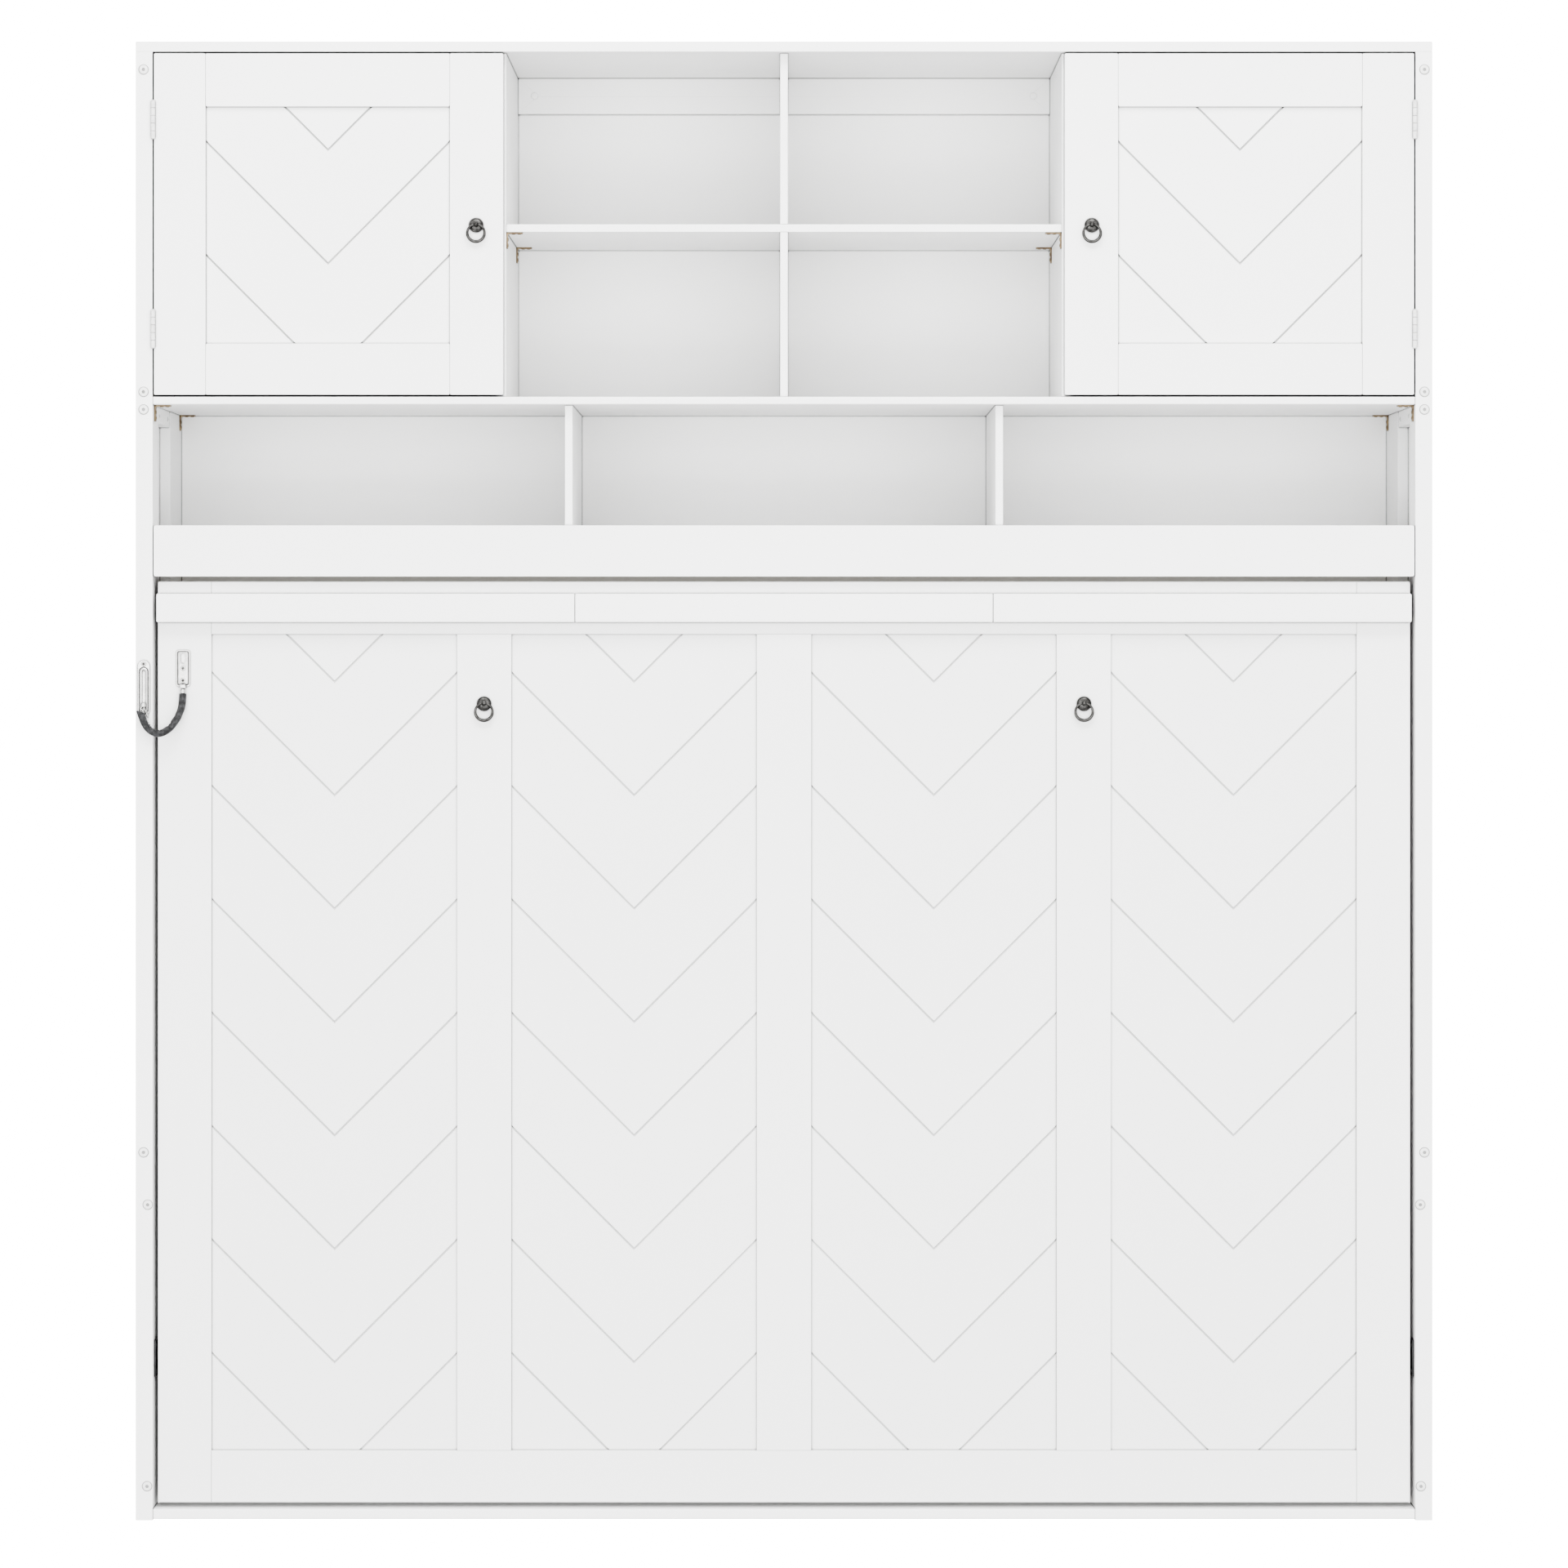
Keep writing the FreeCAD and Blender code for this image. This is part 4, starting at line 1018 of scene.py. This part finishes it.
def capsule(x, half, ends, depth):
    """The outline of an upright slot with half-round ends, as points at one depth."""
    points = []
    for centre, start in ((ends[1], 0.0), (ends[0], math.pi)):
        for step in range(9):
            angle = start + math.pi * step / 8
            points.append(place(x + half * math.cos(angle), depth, centre + half * math.sin(angle)))
    return points


TRACK_LOW, TRACK_HIGH = corners("chain_track")
TRACK_X = -997.0
TRACK_HALF = 9.75
TRACK_CHANNEL = (1263.0, 1322.0)
# Half widths and depths of the plate's rim, then of the channel round the slot, then of the slot.
TRACK_RIM = ((TRACK_HALF, 0.0), (TRACK_HALF, -1.9), (9.2, -2.5))
TRACK_STEPS = (
    (8.0, -2.5), (7.5, -0.8), (6.6, -0.8), (6.1, -3.0), (4.8, -3.7), (3.3, -3.5),
    (2.6, -2.9), (2.6, -0.2),
)
TRACK_SCREW = (-2.5, 1334.0)


def make_track(paint):
    """The slotted plate on the post: a flat rim, a raised channel and a screw."""
    bm = bmesh.new()
    ends = (TRACK_LOW.z + TRACK_HALF, TRACK_HIGH.z - TRACK_HALF)
    rings = [capsule(TRACK_X, half, ends, depth) for half, depth in TRACK_RIM]
    rings += [capsule(TRACK_X, half, TRACK_CHANNEL, depth) for half, depth in TRACK_STEPS]
    made = rings_of(bm, Matrix.Identity(4), rings)
    bm.faces.new(made[-1])
    head = at_place(TRACK_X, *TRACK_SCREW)
    screw(bm, head, TRACK_HEAD, 1.4, WIDE_ARM)
    # A dark disc of painted shade in the screw's recess.
    recess_shade_disc("track_recess_shade", [head], 0.45, paint, "carcass")
    piece("post_track", bm, paint["nickel"], "carcass", ["chain_track"])


def rounded_plate(centre, half, corner, depth):
    """The outline of a plate with round corners, as points at one depth."""
    points = []
    for quarter, (sx, sz) in enumerate(((1, 1), (-1, 1), (-1, -1), (1, -1))):
        for step in range(6):
            angle = math.radians(90 * quarter + 18 * step)
            x = centre[0] + sx * (half[0] - corner) + corner * math.cos(angle)
            z = centre[1] + sz * (half[1] - corner) + corner * math.sin(angle)
            points.append(place(x, depth, z))
    return points


KEEPER_Z = 1327.5
KEEPER_HALF = (11.2, 28.5)
# How far each step of the pressed plate draws in, its corner's radius, and its depth.
KEEPER_STEPS = (
    (0.0, 4.0, 0.0), (0.0, 4.0, -1.6), (0.5, 3.6, -2.3), (1.6, 3.2, -2.3), (2.1, 3.0, -0.5),
    (3.0, 2.7, -0.5), (3.5, 2.5, -2.6), (4.2, 2.2, -3.0),
)
KEEPER_FRONT = BED_FACE + KEEPER_STEPS[-1][2]
KEEPER_SCREWS = (1308.5, 1327.5)
EMBOSSED = (1338.5, 1348.0)
EMBOSSED_STEPS = ((3.6, 0.0), (3.6, -0.7), (2.8, -0.9), (2.6, -0.1))


def make_keeper(paint):
    """The plate on the bed: a pressed rim, a raised tongue, two screws and the chain's lug."""
    bm = bmesh.new()
    rings = []
    for shrink, corner, rise in KEEPER_STEPS:
        size = (KEEPER_HALF[0] - shrink, KEEPER_HALF[1] - shrink)
        rings.append(rounded_plate((KEEPER_X, KEEPER_Z), size, corner, BED_FACE + rise))
    made = rings_of(bm, Matrix.Identity(4), rings)
    bm.faces.new(made[-1])
    heads = [at_place(KEEPER_X, KEEPER_FRONT, z) for z in KEEPER_SCREWS]
    for head in heads:
        screw(bm, head, KEEPER_HEAD, 1.3, WIDE_ARM)
    # Dark discs of painted shade in the screws' recesses.
    recess_shade_disc("keeper_recess_shades", heads, 0.35, paint, "bed")
    rings = []
    for half, rise in EMBOSSED_STEPS:
        rings.append(capsule(KEEPER_X, half, EMBOSSED, KEEPER_FRONT + rise))
    made = rings_of(bm, Matrix.Identity(4), rings)
    bm.faces.new(made[-1])
    lug_high = place(KEEPER_X + 4.4, BED_FACE - 0.2, 1302.6)
    slab(bm, place(KEEPER_X - 4.4, 5.0, 1296.2), lug_high, 0.9)
    pin = at_place(KEEPER_X, CHAIN_DEPTH, CHAIN_TOP + 2.0, TO_TOP)
    lathe(bm, pin, ((1.4, 0.0), (1.4, 7.0)), 16)
    piece("bed_keeper", bm, paint["nickel"], "bed", ["chain_keeper"])


def make_chain(paint):
    sleeve, line = make_sleeve(paint)
    ends = make_chain_ends(paint, line)


# ---------------------------------------------------------------- light, floor and camera


# Each soft lamp's name, place, target, size in metres and power in watts.
LAMPS = (
    ("front", (0.0, -8.0, 1.6), (0.0, 0.0, 1.4), (10.0, 4.0), 165.0),
    ("low", (0.0, -5.0, 0.35), (0.0, 0.0, 1.6), (6.0, 0.6), 28.0),
    ("high", (0.0, -3.2, 5.5), (0.0, 0.0, 1.4), (5.0, 2.0), 100.0),
    ("behind", (0.0, 7.0, 3.6), (0.0, 0.0, 1.4), (7.0, 2.5), 70.0),
)
WORLD_BEHIND = 0.22
WORLD_IN_FRONT = 0.66
SEEN_WHITE = 3.2
FLOOR_HALF = 6.0


def area_light(name, location, target, size, watts):
    data = bpy.data.lights.new(name, "AREA")
    data.shape = "RECTANGLE"
    data.size, data.size_y = size
    data.energy = watts
    lamp = bpy.data.objects.new(name, data)
    lamp.location = location
    lamp.rotation_euler = (Vector(target) - Vector(location)).to_track_quat("-Z", "Y").to_euler()
    bpy.context.scene.collection.objects.link(lamp)


def make_world():
    """A white studio: stronger from the front, and plain white where the camera sees it."""
    world = bpy.data.worlds.new("studio")
    bpy.context.scene.world = world
    world.use_nodes = True
    tree = world.node_tree
    background = tree.nodes["Background"]
    background.inputs["Color"].default_value = (1.0, 1.0, 1.0, 1.0)
    heading = tree.nodes.new("ShaderNodeTexCoord")
    turned = node_of(tree, "ShaderNodeMapping", Rotation=(0.0, 0.0, math.radians(90)))
    forward = tree.nodes.new("ShaderNodeTexGradient")
    tree.links.new(heading.outputs["Generated"], turned.inputs["Vector"])
    tree.links.new(turned.outputs["Vector"], forward.inputs["Vector"])
    strength = spread(
        tree, forward.outputs["Fac"], WORLD_BEHIND, WORLD_IN_FRONT, start=0.0, end=0.5,
    )
    tree.links.new(strength, background.inputs["Strength"])
    white = node_of(
        tree, "ShaderNodeBackground", Color=(1.0, 1.0, 1.0, 1.0), Strength=SEEN_WHITE,
    )
    seen = tree.nodes.new("ShaderNodeLightPath")
    choice = tree.nodes.new("ShaderNodeMixShader")
    tree.links.new(seen.outputs["Is Camera Ray"], choice.inputs[0])
    tree.links.new(background.outputs[0], choice.inputs[1])
    tree.links.new(white.outputs[0], choice.inputs[2])
    tree.links.new(choice.outputs[0], tree.nodes["World Output"].inputs["Surface"])


def make_floor():
    """A plain pale floor that fades into the white background around it."""
    signs = ((-1, -1), (1, -1), (1, 1), (-1, 1))
    bm = bmesh.new()
    bm.faces.new([bm.verts.new((x * FLOOR_HALF, y * FLOOR_HALF, 0.0)) for x, y in signs])
    mesh = bpy.data.meshes.new("floor")
    bm.to_mesh(mesh)
    bm.free()
    material, tree, shader = blank(
        "pale_floor", Roughness=0.9, Specular_IOR_Level=0.1, Base_Color=(0.9, 0.9, 0.9, 1.0),
        Emission_Color=(1.0, 1.0, 1.0, 1.0), Emission_Strength=3.0,
    )
    fade = tree.nodes.new("ShaderNodeTexGradient")
    fade.gradient_type = "SPHERICAL"
    outward = stretched(tree, (1 / FLOOR_HALF, 1 / FLOOR_HALF, 1.0))
    tree.links.new(outward, fade.inputs["Vector"])
    share = spread(tree, fade.outputs["Fac"], 0.0, 1.0, start=0.35, end=0.75)
    tree.links.new(share, shader.inputs["Alpha"])
    mesh.materials.append(material)
    floor = bpy.data.objects.new("floor", mesh)
    floor.visible_diffuse = False
    floor.visible_glossy = False
    floor.visible_shadow = False
    bpy.context.scene.collection.objects.link(floor)


def make_camera():
    """Level, square on and far away, so that upright lines stay upright."""
    distance, eye_height = 8.6, 1.347
    frame_width = 2.4422
    data = bpy.data.cameras.new("camera")
    data.sensor_width = 36.0
    data.lens = data.sensor_width * distance / frame_width
    data.shift_y = -0.0818
    data.clip_end = 200.0
    camera = bpy.data.objects.new("camera", data)
    camera.location = (0.0, FRONT - distance, eye_height)
    camera.rotation_euler = (math.radians(90), 0.0, 0.0)
    bpy.context.scene.collection.objects.link(camera)
    bpy.context.scene.camera = camera


def main():
    paint = make_materials()
    finish_boards(paint)
    make_pulls(paint)
    make_hinges(paint)
    make_bolts(paint)
    make_brackets(paint)
    make_frame_screws(paint)
    make_wall_hole_caps(paint)
    make_slat_screws(paint)
    make_pivots(paint)
    make_struts(paint)
    make_foot_posts(paint)
    make_seam_shades(paint)
    make_track(paint)
    make_keeper(paint)
    make_chain(paint)
    make_world()
    for lamp in LAMPS:
        area_light(*lamp)
    make_floor()
    make_camera()
    view = bpy.context.scene.view_settings
    view.view_transform = "AgX"
    view.look = "AgX - High Contrast"
    view.exposure = 1.03


main()
